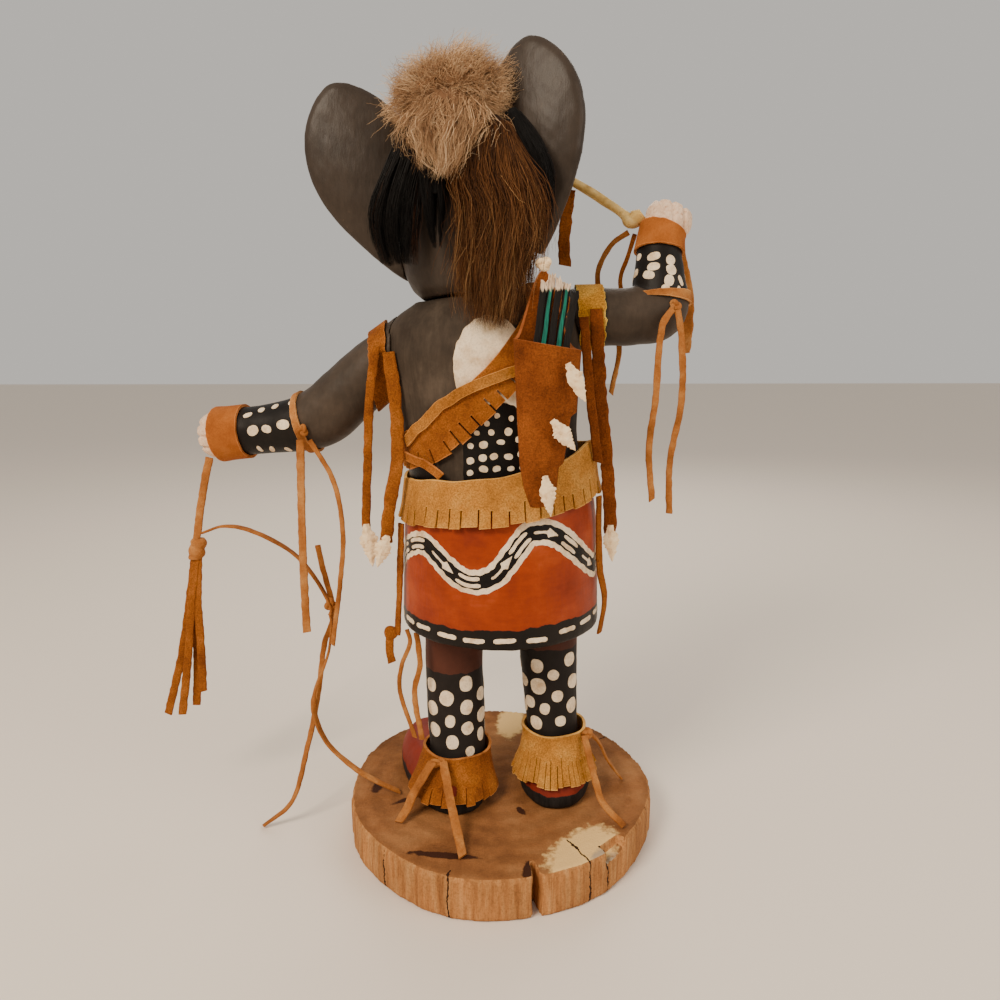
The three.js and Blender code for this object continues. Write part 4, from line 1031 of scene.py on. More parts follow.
def slatLook(name, colour, dark):
    look, tree, shader, coords = startLook(name, 0.55)
    xyz = place(tree, "ShaderNodeSeparateXYZ", {"Vector": coords}).outputs
    grain = noiseAt(tree, stretched(tree, coords, (1, 1, 0.12)), 1500, 5, 0.6)
    edge = maths(tree, "ADD", xyz["Z"], maths(tree, "MULTIPLY", grain, 0.006))
    raw = past(tree, edge, 0.3, 900)
    painted = ramp(tree, grain, [(0.3, dark), (0.65, colour)])
    aside = maths(tree, "ABSOLUTE", numberOf(tree, "slatSide"))
    run = numberOf(tree, "slatRun")
    spear = maths(tree, "GREATER_THAN", maths(tree, "ADD", aside, maths(tree, "MULTIPLY", run, 0.95)), 1.25)
    painted = mixed(tree, spear, painted, rgb(18, 14, 12))
    wood = ramp(tree, grain, [(0.3, rgb(150, 118, 92)), (0.65, rgb(226, 205, 178))])
    tree.links.new(mixed(tree, raw, painted, wood), shader.inputs["Base Color"])
    bumped(tree, shader, grain, 0.5, 0.0005)
    return look


blackSlat = slatLook("blackSlat", rgb(26, 21, 18), rgb(10, 8, 7))
tealSlat = slatLook("tealSlat", rgb(22, 112, 94), rgb(10, 70, 60))


slats = {"halfWidth": 1.5, "halfThick": 1.1, "foot": 238, "tops": (301, 304, 302.5, 300.5, 297)}


def slatShape(index):
    foot = np.array([11.4 + 3.3 * index, -53 + (index % 2) * 0.8, slats["foot"]])
    tip = np.array([19.4 + 3.5 * index, -50.4 + (index % 2) * 0.8, slats["tops"][index]])
    dice = np.random.default_rng(100 + index)
    section = np.array([(x, y) for x, y in ((1, .6), (.6, 1), (0, 1), (-.6, 1), (-1, .6), (-1, 0), (-1, -.6),
        (-.6, -1), (0, -1), (.6, -1), (1, -.6), (1, 0))])
    rings = []
    torn = dice.uniform(-3.5, 1.2, len(section))
    for t in np.linspace(0, 1, 34):
        centre = foot + (tip - foot) * t
        ring = np.zeros((len(section), 3)) + centre
        flare = 1 + 0.12 * max(0, t - 0.85) / 0.15
        ring[:, 0] += section[:, 0] * slats["halfWidth"] * flare + 0.12 * math.sin(t * 21 + index)
        ring[:, 1] += section[:, 1] * slats["halfThick"] * flare
        ring[:, 2] += torn * max(0, (t - 0.9) / 0.1)
        rings.append(ring)
    return closedTube(rings)


for index in range(len(slats["tops"])):
    look, slotName = (tealSlat, "teal_slat") if index % 2 else (blackSlat, "black_slat")
    slat = meshOf("quiverSlat.%d" % (index + 1), [slatShape(index)])
    aside = np.concatenate([np.tile((1, 0.6, 0, -0.6, -1, -1, -1, -0.6, 0, 0.6, 1, 1), 34), (0, 0)])
    run = np.concatenate([np.repeat(np.linspace(0, 1, 34), 12), (0, 1)])
    marked(slat.data, "slatSide", aside)
    marked(slat.data, "slatRun", run)
    finished(slat, look, ["arrow_%d" % (index + 1)], 35)


def stoneLook():
    look, tree, shader, coords = startLook("paleStone", 0.72)
    cloud = noiseAt(tree, coords, 260, 5, 0.6)
    fine = noiseAt(tree, coords, 1600, 4, 0.6)
    tone = ramp(tree, cloud, [(0.3, rgb(206, 168, 124)), (0.48, rgb(246, 214, 170)), (0.75, rgb(255, 234, 196))])
    tree.links.new(tone, shader.inputs["Base Color"])
    bumped(tree, shader, maths(tree, "ADD", fine, cloud), 0.5, 0.0008)
    return look


paleStone = stoneLook()
arrowheads = {"quiver_point_1": ((29.6, 265), (38, 247.6), 8.2, -60),
    "quiver_point_2": ((22.8, 239.5), (33.6, 225.6), 8.2, -61),
    "quiver_point_3": ((19.8, 214), (22.6, 195), 8, -62.2), "left_point_1": ((-70.6, 179.5), (-68, 156), 9.6, -11),
    "left_point_2": ((-58.4, 176), (-64, 159), 8.6, -22.6), "right_point": ((58, 179.5), (59.5, 159.5), 8.4, -16)}


def arrowheadShape(stem, tip, width, y, seed):  # knapped edges and flake scars
    dice = np.random.default_rng(seed)
    long = np.subtract(tip, stem)
    across = np.array([-long[1], long[0]]) / np.linalg.norm(long)
    t = np.linspace(0, 1, 26)
    half = np.interp(t, [0, 0.1, 0.18, 0.24, 0.33, 0.47, 0.72, 0.9, 1],
        [0.16, 0.24, 0.25, 0.36, 0.5, 0.48, 0.3, 0.13, 0.015]) * width
    rows = []
    for sign in (1, -1):
        notch = dice.uniform(-0.09, 0.06, len(t)) * width * np.clip(half / width * 3, 0.1, 1)
        rows.append(np.array(stem) + long * t[:, None] + across * (sign * (half + notch))[:, None])
    grids = []
    for face in (1, -1):
        grid = np.empty((len(t), 13, 3))
        for j, s in enumerate(np.linspace(-1, 1, 13)):
            flat = rows[1] + (rows[0] - rows[1]) * (s + 1) / 2
            thick = 0.35 + 1.35 * (1 - abs(s) ** 1.5) * np.clip(half / width * 2.4, 0.15, 1)
            flake = 0.35 * ripple(np.stack([flat[:, 0], flat[:, 1], flat[:, 0] * 0 + face * 5], 1), 3.2,
                seed + face + 2)
            grid[:, j] = np.stack([flat[:, 0], y + face * np.maximum(0.25, thick + flake * (1 - abs(s))), flat[:, 1]],
                1)
        grids.append(grid)
    return leatherShell(grids[1], grids[0])


for number, (node, facts) in enumerate(arrowheads.items()):
    finished(meshOf("stonePoint.%d" % (number + 1), [arrowheadShape(*facts, 120 + number)]), paleStone, [node],
        22)
finished(meshOf("shoulderKnot", [knotShape((19.5, -43.2, 309.2), (4.2, 3.2, 3.6), 0.4, 3)]), paleStone,
    ["shoulder_knot"], 50)
print("stage: quiver")

# stick in the right hand
stickPath = [(75.5, 17.5, 339.4, 3, 3), (73, 18, 337.6, 4.4, 4.4), (69, 18.8, 336.4, 4.2, 4.2),
    (66.5, 19.2, 338.8, 2.6, 2.6), (53.5, 22, 348, 2.5, 2.5), (40.5, 25, 356, 2.3, 2.3), (22, 29, 366, 2, 2)]


def twigLook():
    look, tree, shader, coords = startLook("paleTwig", 0.5)
    grain = noiseAt(tree, stretched(tree, coords, (0.3, 1, 0.5)), 900, 5, 0.6)
    cloud = noiseAt(tree, coords, 120, 4, 0.6)
    tone = ramp(tree, cloud, [(0.3, rgb(170, 122, 62)), (0.5, rgb(216, 178, 104)), (0.75, rgb(236, 208, 146))])
    tree.links.new(shaded(tree, tone, grain, 0.35, 0.82, 0.65, 1.08), shader.inputs["Base Color"])
    bumped(tree, shader, grain, 0.3, 0.0004)
    return look


stickPiece = meshOf("heldStick", [closedTube(limbRings(stickPath, 70, 20))])
p = pointsOf(stickPiece)
pushed(stickPiece, 0.12 * ripple(p, 9, 151))
finished(stickPiece, twigLook(), ["stick"], 60)

# straps, laces and thongs: each a flat strip of leather along its own path
strapTable = {"leftStrap.1": ("left_strap_1", [(-62, -17.2, 272), (-66.1, -16.5, 245), (-68.5, -13, 214),
        (-70.8, -10.6, 181), (-70.8, -8.8, 175)], 4.6, 1.4, "back", "back", "brown", "stonePoint.4"),
    "leftStrap.2": ("left_strap_2", [(-55.6, -18.2, 269), (-52.8, -19.6, 245.2), (-52.4, -21.5, 215),
        (-56.2, -22.5, 194), (-58.6, -21.6, 177), (-59, -20, 171.5)], 6.6, 1.4, "back", "back", "brown",
        "stonePoint.5"),
    "rightStrap.1": ("right_strap_1", [(47.6, -17.4, 290), (50.6, -20, 245), (54, -18.5, 219.5), (58, -15.6, 181),
        (58.2, -13.6, 175)], 6.6, 1.4, "back", "back", "dark", "stonePoint.6"),
    "rightStrap.2": ("right_strap_2", [(41, -22.5, 286), (43.2, -24.6, 260), (46, -25, 238), (49.6, -23, 214)], 4.6,
        1.4, "back", "back", "dark"),
    "leftElbowTail.1": ("left_elbow_tail_1", [(-103.5, -9.6, 224), (-104.9, -9.4, 181), (-105.7, -8, 148),
        (-105.6, -8, 118)], 4.2, 1.4, "back", "back", "lace"),
    "leftElbowTail.2": ("left_elbow_tail_2", [(-98.6, -9.6, 224), (-87.1, -10, 202), (-83.8, -8, 174),
        (-86.8, -5, 146), (-92.7, -4, 109)], 2.6, 1.4, "back", "back", "lace"),
    "rightElbowTail.1": ("right_elbow_tail_1", [(86, -15.4, 290), (81.6, -16.2, 283.5), (80.2, -15.6, 273),
        (79.6, -14, 245), (77.6, -12, 219), (80.2, -12, 192)], 3.4, 1.4, "back", "back", "lace"),
    "rightElbowTail.2": ("right_elbow_tail_2", [(88.6, -14.8, 289.5), (91, -13.6, 280), (94.5, -8, 244),
        (90.9, -3, 211), (92.4, 0, 182)], 3.4, 1.4, "back", "back", "lace"),
    "handThong": ("left_hand_thong", [(-161, 19.5, 210.4), (-165.7, 19, 192), (-171, 18, 164.2)], 4.2, 1.5, "back",
        "back", "lace"),
    "tassel.1": ("tassel", [(-172, 18, 157), (-178, 18.5, 128), (-186, 19, 92), (-196.5, 19, 57)], 4.6, 1.3, "back",
        "back", "brown"),
    "tassel.2": ("tassel", [(-171.5, 17, 157), (-176, 16, 128), (-181, 16, 92), (-187, 16, 58)], 4.6, 1.3, "back",
        "back", "brown"),
    "tassel.3": ("tassel", [(-171, 18.5, 157), (-174, 19.5, 128), (-177, 20, 92), (-179.5, 20, 62)], 4.6, 1.3, "back",
        "back", "brown"),
    "tassel.4": ("tassel", [(-170.5, 17.5, 157), (-172.5, 16.5, 130), (-173, 16.5, 100), (-174, 17, 72)], 4.6, 1.3,
        "back", "back", "brown"),
    "longLace.1": ("lace_1", [(-167, 17, 168), (-152.6, 12, 173), (-133, 7, 170), (-109.7, 3, 156), (-94.6, 0, 132.5),
        (-93.6, 0, 128), (-95.7, 0, 104), (-105.5, -1.5, 74), (-100.2, -4, 53), (-88.6, -7, 40.6), (-72.6, -11, 31),
        (-57, -14, 24.8)], 3.6, 1.4, "above", "above", "lace"),
    "longLace.2": ("lace_2", [(-100, 3.6, 164), (-97.8, 4.4, 150), (-94.6, 5, 135), (-93, 5, 124), (-99, 4.6, 106),
        (-103.9, 3.4, 75), (-110.1, -3, 45.7), (-119.9, -8, 14.3), (-136, -10.2, 1.2)], 3, 1.4, "back", "above",
        "lace"),
    "stickThong.1": ("stick_thong_1", [(69.6, 24, 331), (62, 24.6, 326), (54.2, 24, 313), (53.8, 24, 304.7),
        (60, 24, 288), (66.3, 24, 272), (62.6, 24, 245)], 2.8, 1.3, "away", "away", "lace"),
    "stickThong.2": ("stick_thong_2", [(73, 23.6, 330), (69.6, 23, 319), (65.8, 24, 306), (68, 24, 296)], 2.4, 1.3,
        "away", "away", "brown"),
    "stickLeaf": ("stick_leaf", [(38, 27.4, 353), (36.5, 27.4, 340), (35.4, 27.4, 327), (36, 27.4, 314)], 6.4, 1.3,
        "away", "away", "brown"),
    "forearmStrip": ("forearm_strip", [(97.5, 24, 320), (103.6, 26, 298), (104, 26, 280), (103.2, 26, 267)], 6.4, 1.3,
        "away", "away", "lace"),
    "leftHipStrap": ("left_hip_strap", [(-51.6, -17, 181), (-52.6, -17, 160), (-53.8, -16.6, 139),
        (-55.3, -15.6, 119)], 4.2, 1.3, (-0.7, -0.7, 0), (-0.7, -0.7, 0), "brown"),
    "leftHipLace.1": ("left_hip_lace_1", [(-50.2, -15.6, 122), (-48.6, -15.6, 115), (-53.5, -15, 101.5),
        (-55, -15, 87.4), (-47, -17, 59.5)], 2.4, 1.2, "back", "back", "lace"),
    "leftHipLace.2": ("left_hip_lace_2", [(-45, -17.6, 121), (-43.8, -18.6, 112), (-43.4, -18.6, 102),
        (-46.6, -19, 88), (-43, -20.4, 60)], 3, 1.2, "back", "back", "lace"),
    "rightHipStrap": ("right_hip_strap", [(51.1, -18.5, 195.5), (52.6, -18, 157), (56, -15.6, 138.5),
        (53.6, -16.6, 120)], 4, 1.3, (0.7, -0.7, 0), (0.7, -0.7, 0), "brown"),
    "leftAnkleTail.1": ("left_ankle_tie", [(-37, -27.4, 50), (-46.5, -35, 37), (-50.5, -39, 29), (-54.5, -43, 24.6)],
        5, 1.3, (-0.4, -0.6, 0.7), "above", "lace"),
    "leftAnkleTail.2": ("left_ankle_tie", [(-31, -28.4, 51), (-27.4, -43.6, 41), (-22.8, -59, 30),
        (-19.5, -72, 24.6)], 4.6, 1.3, (0, -0.7, 0.7), "above", "lace"),
    "rightAnkleTail.1": ("right_ankle_tie", [(46.6, -18, 60), (50, -29, 46), (54, -39, 33), (64.5, -49, 24.6)], 4,
        1.3, (0.5, -0.6, 0.7), "above", "lace"),
    "rightAnkleTail.2": ("right_ankle_tie", [(49, -12.6, 60), (56.4, -7, 50), (62.4, -5, 37), (71, -4, 24.6)], 3.6,
        1.3, (0.8, -0.2, 0.6), "above", "lace")}
ways = {"back": (0, -1, 0), "away": (0, 1, 0), "above": (0, 0, 1)}
leathers = {"brown": (brownSuede, "suede_brown"), "dark": (darkSuede, "suede_brown"),
    "lace": (laceSuede, "lace_leather")}


def strapShape(line, width, thick, face, faceEnd, seed):
    dice = np.random.default_rng(seed)
    count = len(line)
    start, end = (np.array(ways.get(f, f), float) for f in (face, faceEnd))
    along = np.gradient(line, axis=0)
    along /= np.linalg.norm(along, axis=1, keepdims=True)
    t = np.linspace(0, 1, count)
    run = t * np.linalg.norm(np.diff(line, axis=0), axis=1).sum()
    half = np.array([(1, 0.35), (0.93, 0.85), (0.6, 1), (0, 1.08), (-0.6, 1), (-0.93, 0.85), (-1, 0.35), (-1, -0.35),
        (-0.93, -0.85), (-0.6, -1), (0, -0.92), (0.6, -1), (0.93, -0.85), (1, -0.35)])
    leftEdge = 1 + 0.1 * rippleAlong(run, 7, seed) + 0.04 * rippleAlong(run, 2.5, seed + 1)
    rightEdge = 1 + 0.1 * rippleAlong(run, 8, seed + 2) + 0.04 * rippleAlong(run, 2.2, seed + 3)
    cup = 0.2 * rippleAlong(run, 22, seed + 4)
    turn = 0.16 * rippleAlong(run, 40, seed + 5) * np.clip(t * 4, 0, 1)
    slant = dice.uniform(-1.2, 1.2)
    rings = []
    for i in range(count):
        look = start + (end - start) * t[i]
        side = np.cross(along[i], look)
        side /= np.linalg.norm(side)
        out = np.cross(side, along[i])
        c, s = math.cos(turn[i]), math.sin(turn[i])
        side, out = side * c + out * s, out * c - side * s
        u = half[:, 0] * np.where(half[:, 0] > 0, leftEdge[i], rightEdge[i])
        v = half[:, 1] * thick / 2 + cup[i] * (half[:, 0] ** 2 - 0.4)
        last = slant * half[:, 0] * max(0, t[i] - 0.97) / 0.03
        rings.append(line[i] + side * (u * width / 2)[:, None] + out * v[:, None] + along[i] * last[:, None])
    return closedTube(rings)


for number, (name, (node, route, width, thick, face, faceEnd, kind, *point)) in enumerate(strapTable.items()):
    long = np.linalg.norm(np.diff(flowLine(route, 60), axis=0), axis=1).sum()
    line = flowLine(route, max(20, int(long / 1.3)))
    look, slotName = leathers[kind]
    piece = finished(meshOf(name, [strapShape(line, width, thick, face, faceEnd, 200 + 10 * number)]), look, [node],
        60)
knots = {"laceKnot": ("lace_1", (-94, 1, 130.5), (3.6, 3.2, 4.8)),
    "leftAnkleKnot": ("left_ankle_tie", (-34, -28.2, 50.4), (5.8, 2.4, 3.4)),
    "rightAnkleKnot": ("right_ankle_tie", (48.6, -16, 60.5), (3.2, 3.8, 3.2))}
for number, (name, (node, at, size)) in enumerate(knots.items()):
    finished(meshOf(name, [knotShape(at, size, 0.4, number + 4)]), laceSuede, [node], 60)


def windingShape(foot, top, radius, turns):  # a thong wound round and round
    foot, top = np.array(foot, float), np.array(top, float)
    rings = []
    for t in np.linspace(0, 1, 40):
        a = roundAngles(24)
        r = radius * (0.86 + 0.2 * np.abs(np.sin(np.pi * turns * (t + a / (2 * np.pi) / turns)))) * (1 - 0.25
            * (2 * t - 1) ** 6)
        rings.append(foot + (top - foot) * t + np.stack([np.cos(a) * r, np.sin(a) * r * 0.8, a * 0], 1))
    return closedTube(rings)


finished(meshOf("tasselRing", [windingShape((-172.4, 17.8, 152.5), (-169.6, 17.8, 164.5), 4.6, 2)]), laceSuede,
    ["tassel"], 60)


def rosetteShape(at, radius, thick):  # a small round of leather, its faces towards the back
    rings = []
    for y, r in ((-0.5, 0.2), (-0.5, 0.85), (-0.35, 0.98), (0.35, 0.98), (0.5, 0.85), (0.5, 0.2)):
        a = roundAngles(28)
        wobble = 1 + 0.05 * np.sin(a * 3 + 1)
        rings.append(np.stack([np.cos(a) * radius * r * wobble, np.full(28, y * thick),
            np.sin(a) * radius * r * wobble], 1) + np.array(at))
    return closedTube(rings)


rosette = meshOf("hipRosette", [rosetteShape((-58.8, -15, 120), 3.9, 2.2),
    strapShape(flowLine([(-59.4, -15, 119), (-59.8, -15.2, 111), (-58.8, -15, 103)], 20), 4.4, 1.2, "back", "back",
    480)])
finished(rosette, brownSuede, ["left_hip_strap"], 60)
print("stage: straps and laces")


# fur and hair: strand paths here, their thickness in Geometry Nodes
def strandTree():
    tree = bpy.data.node_groups.new("hairStrands", "GeometryNodeTree")
    face = tree.interface
    face.new_socket("Geometry", in_out="INPUT", socket_type="NodeSocketGeometry")
    thick = face.new_socket("Root Radius", in_out="INPUT", socket_type="NodeSocketFloat")
    thick.default_value = 0.0002
    tip = face.new_socket("Tip Share", in_out="INPUT", socket_type="NodeSocketFloat")
    tip.default_value = 0.25
    face.new_socket("Material", in_out="INPUT", socket_type="NodeSocketMaterial")
    face.new_socket("Geometry", in_out="OUTPUT", socket_type="NodeSocketGeometry")
    start = place(tree, "NodeGroupInput").outputs
    curve = place(tree, "GeometryNodeMeshToCurve", {"Mesh": start["Geometry"]}).outputs["Curve"]
    share = place(tree, "GeometryNodeSplineParameter").outputs["Factor"]
    taper = place(tree, "ShaderNodeMapRange", {"Value": share, "From Min": 0.35, "From Max": 1.0, "To Min": 1.0,
        "To Max": start["Tip Share"]}).outputs["Result"]
    radius = maths(tree, "MULTIPLY", taper, start["Root Radius"])
    shaped = place(tree, "GeometryNodeSetCurveRadius", {"Curve": curve, "Radius": radius}).outputs["Curve"]
    profile = place(tree, "GeometryNodeCurvePrimitiveCircle", {"Resolution": 3, "Radius": 1.0}).outputs["Curve"]
    node = place(tree, "GeometryNodeCurveToMesh", {"Curve": shaped, "Profile Curve": profile, "Fill Caps": True})
    if "Scale" in node.inputs:
        tree.links.new(radius, node.inputs["Scale"])
    real = place(tree, "GeometryNodeRealizeInstances", {"Geometry": node.outputs["Mesh"]}).outputs["Geometry"]
    done = place(tree, "GeometryNodeSetMaterial", {"Geometry": real,
        "Material": start["Material"]}).outputs["Geometry"]
    place(tree, "NodeGroupOutput", {"Geometry": done})
    return tree


strandNodes = strandTree()


def combed(name, strands, tones, rootRadius, tipShare, material):  # (strand, point, 3) paths in mm to a mesh
    count, steps = strands.shape[:2]
    mesh = bpy.data.meshes.new(name)
    start = np.arange(count * steps).reshape(count, steps)
    edges = np.stack([start[:, :-1].ravel(), start[:, 1:].ravel()], 1)
    mesh.from_pydata([tuple(q) for q in strands.reshape(-1, 3) * mm], [tuple(e) for e in edges], [])
    marked(mesh, "strandTone", tones)
    piece = bpy.data.objects.new(name, mesh)
    bpy.context.scene.collection.objects.link(piece)
    return grown(piece, strandNodes, {"Root Radius": rootRadius * mm, "Tip Share": tipShare, "Material": material})


def furLook(name, stops, roughness=0.85):  # tone runs from 0, deep shade, to 1, sunlit tips
    look, tree, shader, coords = startLook(name, roughness)
    tone = numberOf(tree, "strandTone")
    tree.links.new(ramp(tree, tone, stops), shader.inputs["Base Color"])
    return look


beigeFur = furLook("beigeFur", [(0, rgb(86, 56, 36)), (0.3, rgb(152, 114, 80)), (0.6, rgb(202, 164, 124)),
    (1, rgb(240, 212, 176))], 0.9)
brownFur = furLook("brownFur", [(0, rgb(20, 11, 6)), (0.35, rgb(62, 36, 17)), (0.65, rgb(112, 70, 36)),
    (1, rgb(186, 142, 92))], 0.8)
blackHair = furLook("blackHair", [(0, rgb(5, 4, 3)), (0.7, rgb(13, 8, 6)), (1, rgb(78, 46, 24))], 0.6)
topknot = {"centre": (-24, -11, 387), "size": (31, 21, 25), "strands": 3600, "clumps": 90, "radius": 0.115,
    "parts": 3, "droop": 11, "curl": 3.2}


def topknotStrands(seed):
    dice = np.random.default_rng(seed)
    shared = np.random.default_rng(300)
    count, steps = topknot["strands"], 8
    centre, size = np.array(topknot["centre"]), np.array(topknot["size"])
    ways = dice.normal(size=(count, 3))
    ways /= np.linalg.norm(ways, axis=1, keepdims=True)
    clumps = shared.normal(size=(topknot["clumps"], 3))
    clumps /= np.linalg.norm(clumps, axis=1, keepdims=True)
    nearest = np.argmax(ways @ clumps.T, 1)
    pull = dice.uniform(0.05, 0.55, count)[:, None]
    tips = ways * (1 - pull) + clumps[nearest] * pull + dice.normal(size=(count, 3)) * 0.1
    reach = dice.uniform(0.72, 1.08, count) * (1 + 0.08 * ripple(tips * 30, 22, 302))
    reach[dice.uniform(size=count) < 0.03] *= 1.16
    hang = np.clip(-ways[:, 1] + 0.1, 0, 1) * np.clip(0.45 - ways[:, 2], 0, 1) * dice.uniform(0.3, 1.4, count)
    own = dice.normal(size=(count, 3)) * 1.6
    t = np.linspace(0, 1, steps)
    paths = np.empty((count, steps, 3))
    for k in range(steps):
        spot = ways * (1 - t[k]) + tips * t[k]
        spot /= np.linalg.norm(spot, axis=1, keepdims=True)
        spot = spot * (0.5 + (reach - 0.5) * t[k])[:, None] * size
        spot[:, 0] += 9 * np.clip(spot[:, 2] / 24, 0, 1.1) ** 3
        spot += t[k] * topknot["curl"] * np.stack([ripple(spot + own, 8, 310 + c) for c in range(3)], 1)
        spot[:, 2] -= hang * topknot["droop"] * t[k] ** 1.3
        spot[:, 1] -= hang * 5 * t[k]
        paths[:, k] = centre + spot
    # strand tones: a tone that differs at random from strand to strand, with painted shade at the roots and on the
    # lower strands and painted light at the tips
    shade = 0.52 + 0.26 * ripple(paths[:, -1], 13, 303) + dice.normal(size=count) * 0.09
    under = np.clip((paths[:, -1, 2] - centre[2]) / 25, -1, 1) * 0.1
    tones = np.clip((shade + under)[:, None] * (0.45 + 0.6 * t), 0, 1)
    return paths, tones


def coreShape(centre, size, share, seed):
    a = roundAngles(40)
    rings = []
    for b in np.linspace(-1.45, 1.45, 22):
        ring = np.stack([np.cos(a) * math.cos(b), np.sin(a) * math.cos(b), np.full(40, math.sin(b))], 1)
        ring *= share * (1 + 0.06 * ripple(ring * 30, 16, seed))[:, None]
        rings.append(ring * np.array(size) + np.array(centre))
    return closedTube(rings)


def lockStrands(stations, count, seed, steps=8, firstEnd=0.62, ragged=0.1, frizz=0.5, clump=0.6, clumps=40):
    dice = np.random.default_rng(seed)
    line = flowLine(stations, 200)
    t = np.linspace(0, 1, 200)
    groupAngle, groupReach = dice.uniform(0, 2 * np.pi, clumps), np.sqrt(dice.uniform(0, 1, clumps))
    group = np.stack([np.cos(groupAngle) * groupReach, np.sin(groupAngle) * groupReach], 1)
    angle, reach = dice.uniform(0, 2 * np.pi, count), dice.uniform(0, 1, count) ** 0.42
    own = np.stack([np.cos(angle) * reach, np.sin(angle) * reach], 1)
    nearest = np.argmin(((own[:, None] - group[None]) ** 2).sum(2), 1)
    start = dice.uniform(0, 0.3, count)
    groupEnd = dice.uniform(firstEnd, 1.0, clumps)
    end = np.clip(groupEnd[nearest] + dice.normal(size=count) * ragged, start + 0.25, 1.0)
    paths = np.empty((count, steps, 3))
    drift = dice.normal(size=(count, 2)) * 0.16
    shift = dice.normal(size=(count, 3)) * 2.5
    for k in range(steps):
        s = k / (steps - 1)
        at = start + (end - start) * s
        flat = own * (1 - clump * s) + group[nearest] * clump * s + drift * s * frizz
        spot = np.stack([np.interp(at, t, line[:, c]) for c in range(5)], 1)
        paths[:, k] = spot[:, :3]
        paths[:, k, 0] += flat[:, 0] * spot[:, 3]
        paths[:, k, 1] += flat[:, 1] * spot[:, 4]
        paths[:, k] += frizz * np.stack([ripple(paths[:, k] + own.repeat(2, 1)[:, :3] * 9, 14,
            seed + 5 + c) for c in range(3)], 1) * s
        paths[:, k] += 0.45 * frizz * np.stack([ripple(paths[:, k] + shift, 6, seed + 15 + c) for c in range(3)],
            1) * s
    # strand tones: a tone that differs at random, with painted shade on the strands inside the lock and at the roots,
    # and painted light on the outer strands and tips
    shade = 0.5 + 0.3 * ripple(paths[:, steps // 2], 15, seed + 9) + dice.normal(size=count) * 0.1
    outer = np.clip(reach, 0, 1) * 0.25 - 0.2
    along = np.linspace(0.75, 1.05, steps)
    return paths, np.clip((shade + outer)[:, None] * along, 0, 1)


locks = {"topknotFall": {"line": [(-23, -24, 384, 16, 9), (-24, -33, 373, 17, 8), (-25, -39, 364, 14, 7),
        (-26.5, -43, 355, 9, 5), (-27, -46, 347, 5, 3.5)], "count": 2300, "parts": 1, "radius": 0.12, "firstEnd": 0.5,
        "frizz": 3.2, "clump": 0.4, "clumps": 40},
    "furTail": {"line": [(-4, -27, 374, 9, 6), (-4, -35, 362, 12.5, 8), (-4, -39, 347, 17, 8.5),
        (0.3, -39, 334, 15, 8), (-0.5, -39, 320, 13.5, 8), (-2.6, -40, 307, 12, 7), (-3, -41, 294, 10.8, 6),
        (-3, -41.5, 283, 8.5, 4.5)], "count": 3400, "parts": 2, "radius": 0.125, "firstEnd": 0.62, "frizz": 3.0,
        "clump": 0.4, "clumps": 60},
    "leftHair": {"line": [(-35, -27, 376, 9, 6), (-42, -32, 357, 10, 6.5), (-46.5, -33, 345, 11, 6),
        (-50, -33, 331, 12, 5.5), (-49.8, -33, 319, 10.5, 4.5), (-48, -33, 310, 8.5, 3.5)], "count": 2200, "parts": 1,
        "radius": 0.17, "firstEnd": 0.74, "frizz": 0.7, "clump": 0.75, "clumps": 26},
    "centreHair": {"line": [(-29, -31, 371, 8, 5), (-31, -33, 364, 7, 5), (-31.4, -36, 351, 6.8, 4.5),
        (-31, -37.5, 340, 6, 4), (-30.6, -38, 329, 4.6, 3), (-29.6, -37.5, 317, 2.4, 1.6)], "count": 900, "parts": 1,
        "radius": 0.14, "firstEnd": 0.6, "frizz": 0.6, "clump": 0.85, "clumps": 7},
    "rightHair": {"line": [(5, -19, 380, 5, 4), (10, -24, 369, 8, 5), (15.3, -27, 359.5, 7.2, 5),
        (19.4, -28, 350, 5.5, 4.5), (21, -27, 339, 4, 4), (21.2, -26, 331, 2.8, 3), (17.5, -25, 320, 2.2, 2)],
        "count": 1500, "parts": 1, "radius": 0.13, "firstEnd": 0.55, "frizz": 1.0, "clump": 0.6, "clumps": 18}}


def joined(name, pieces):
    for piece in bpy.context.selected_objects:
        piece.select_set(False)
    for piece in pieces:
        piece.select_set(True)
    bpy.context.view_layer.objects.active = pieces[0]
    bpy.ops.object.join()
    pieces[0].name = name
    return pieces[0]


# a solid inside a tuft of hair, given a low tone on the fur's scale: painted deep shade in the tuft's depths
def corePiece(name, shape, tone):
    piece = meshOf(name, [shape])
    marked(piece.data, "strandTone", np.full(len(piece.data.vertices), tone))
    return piece


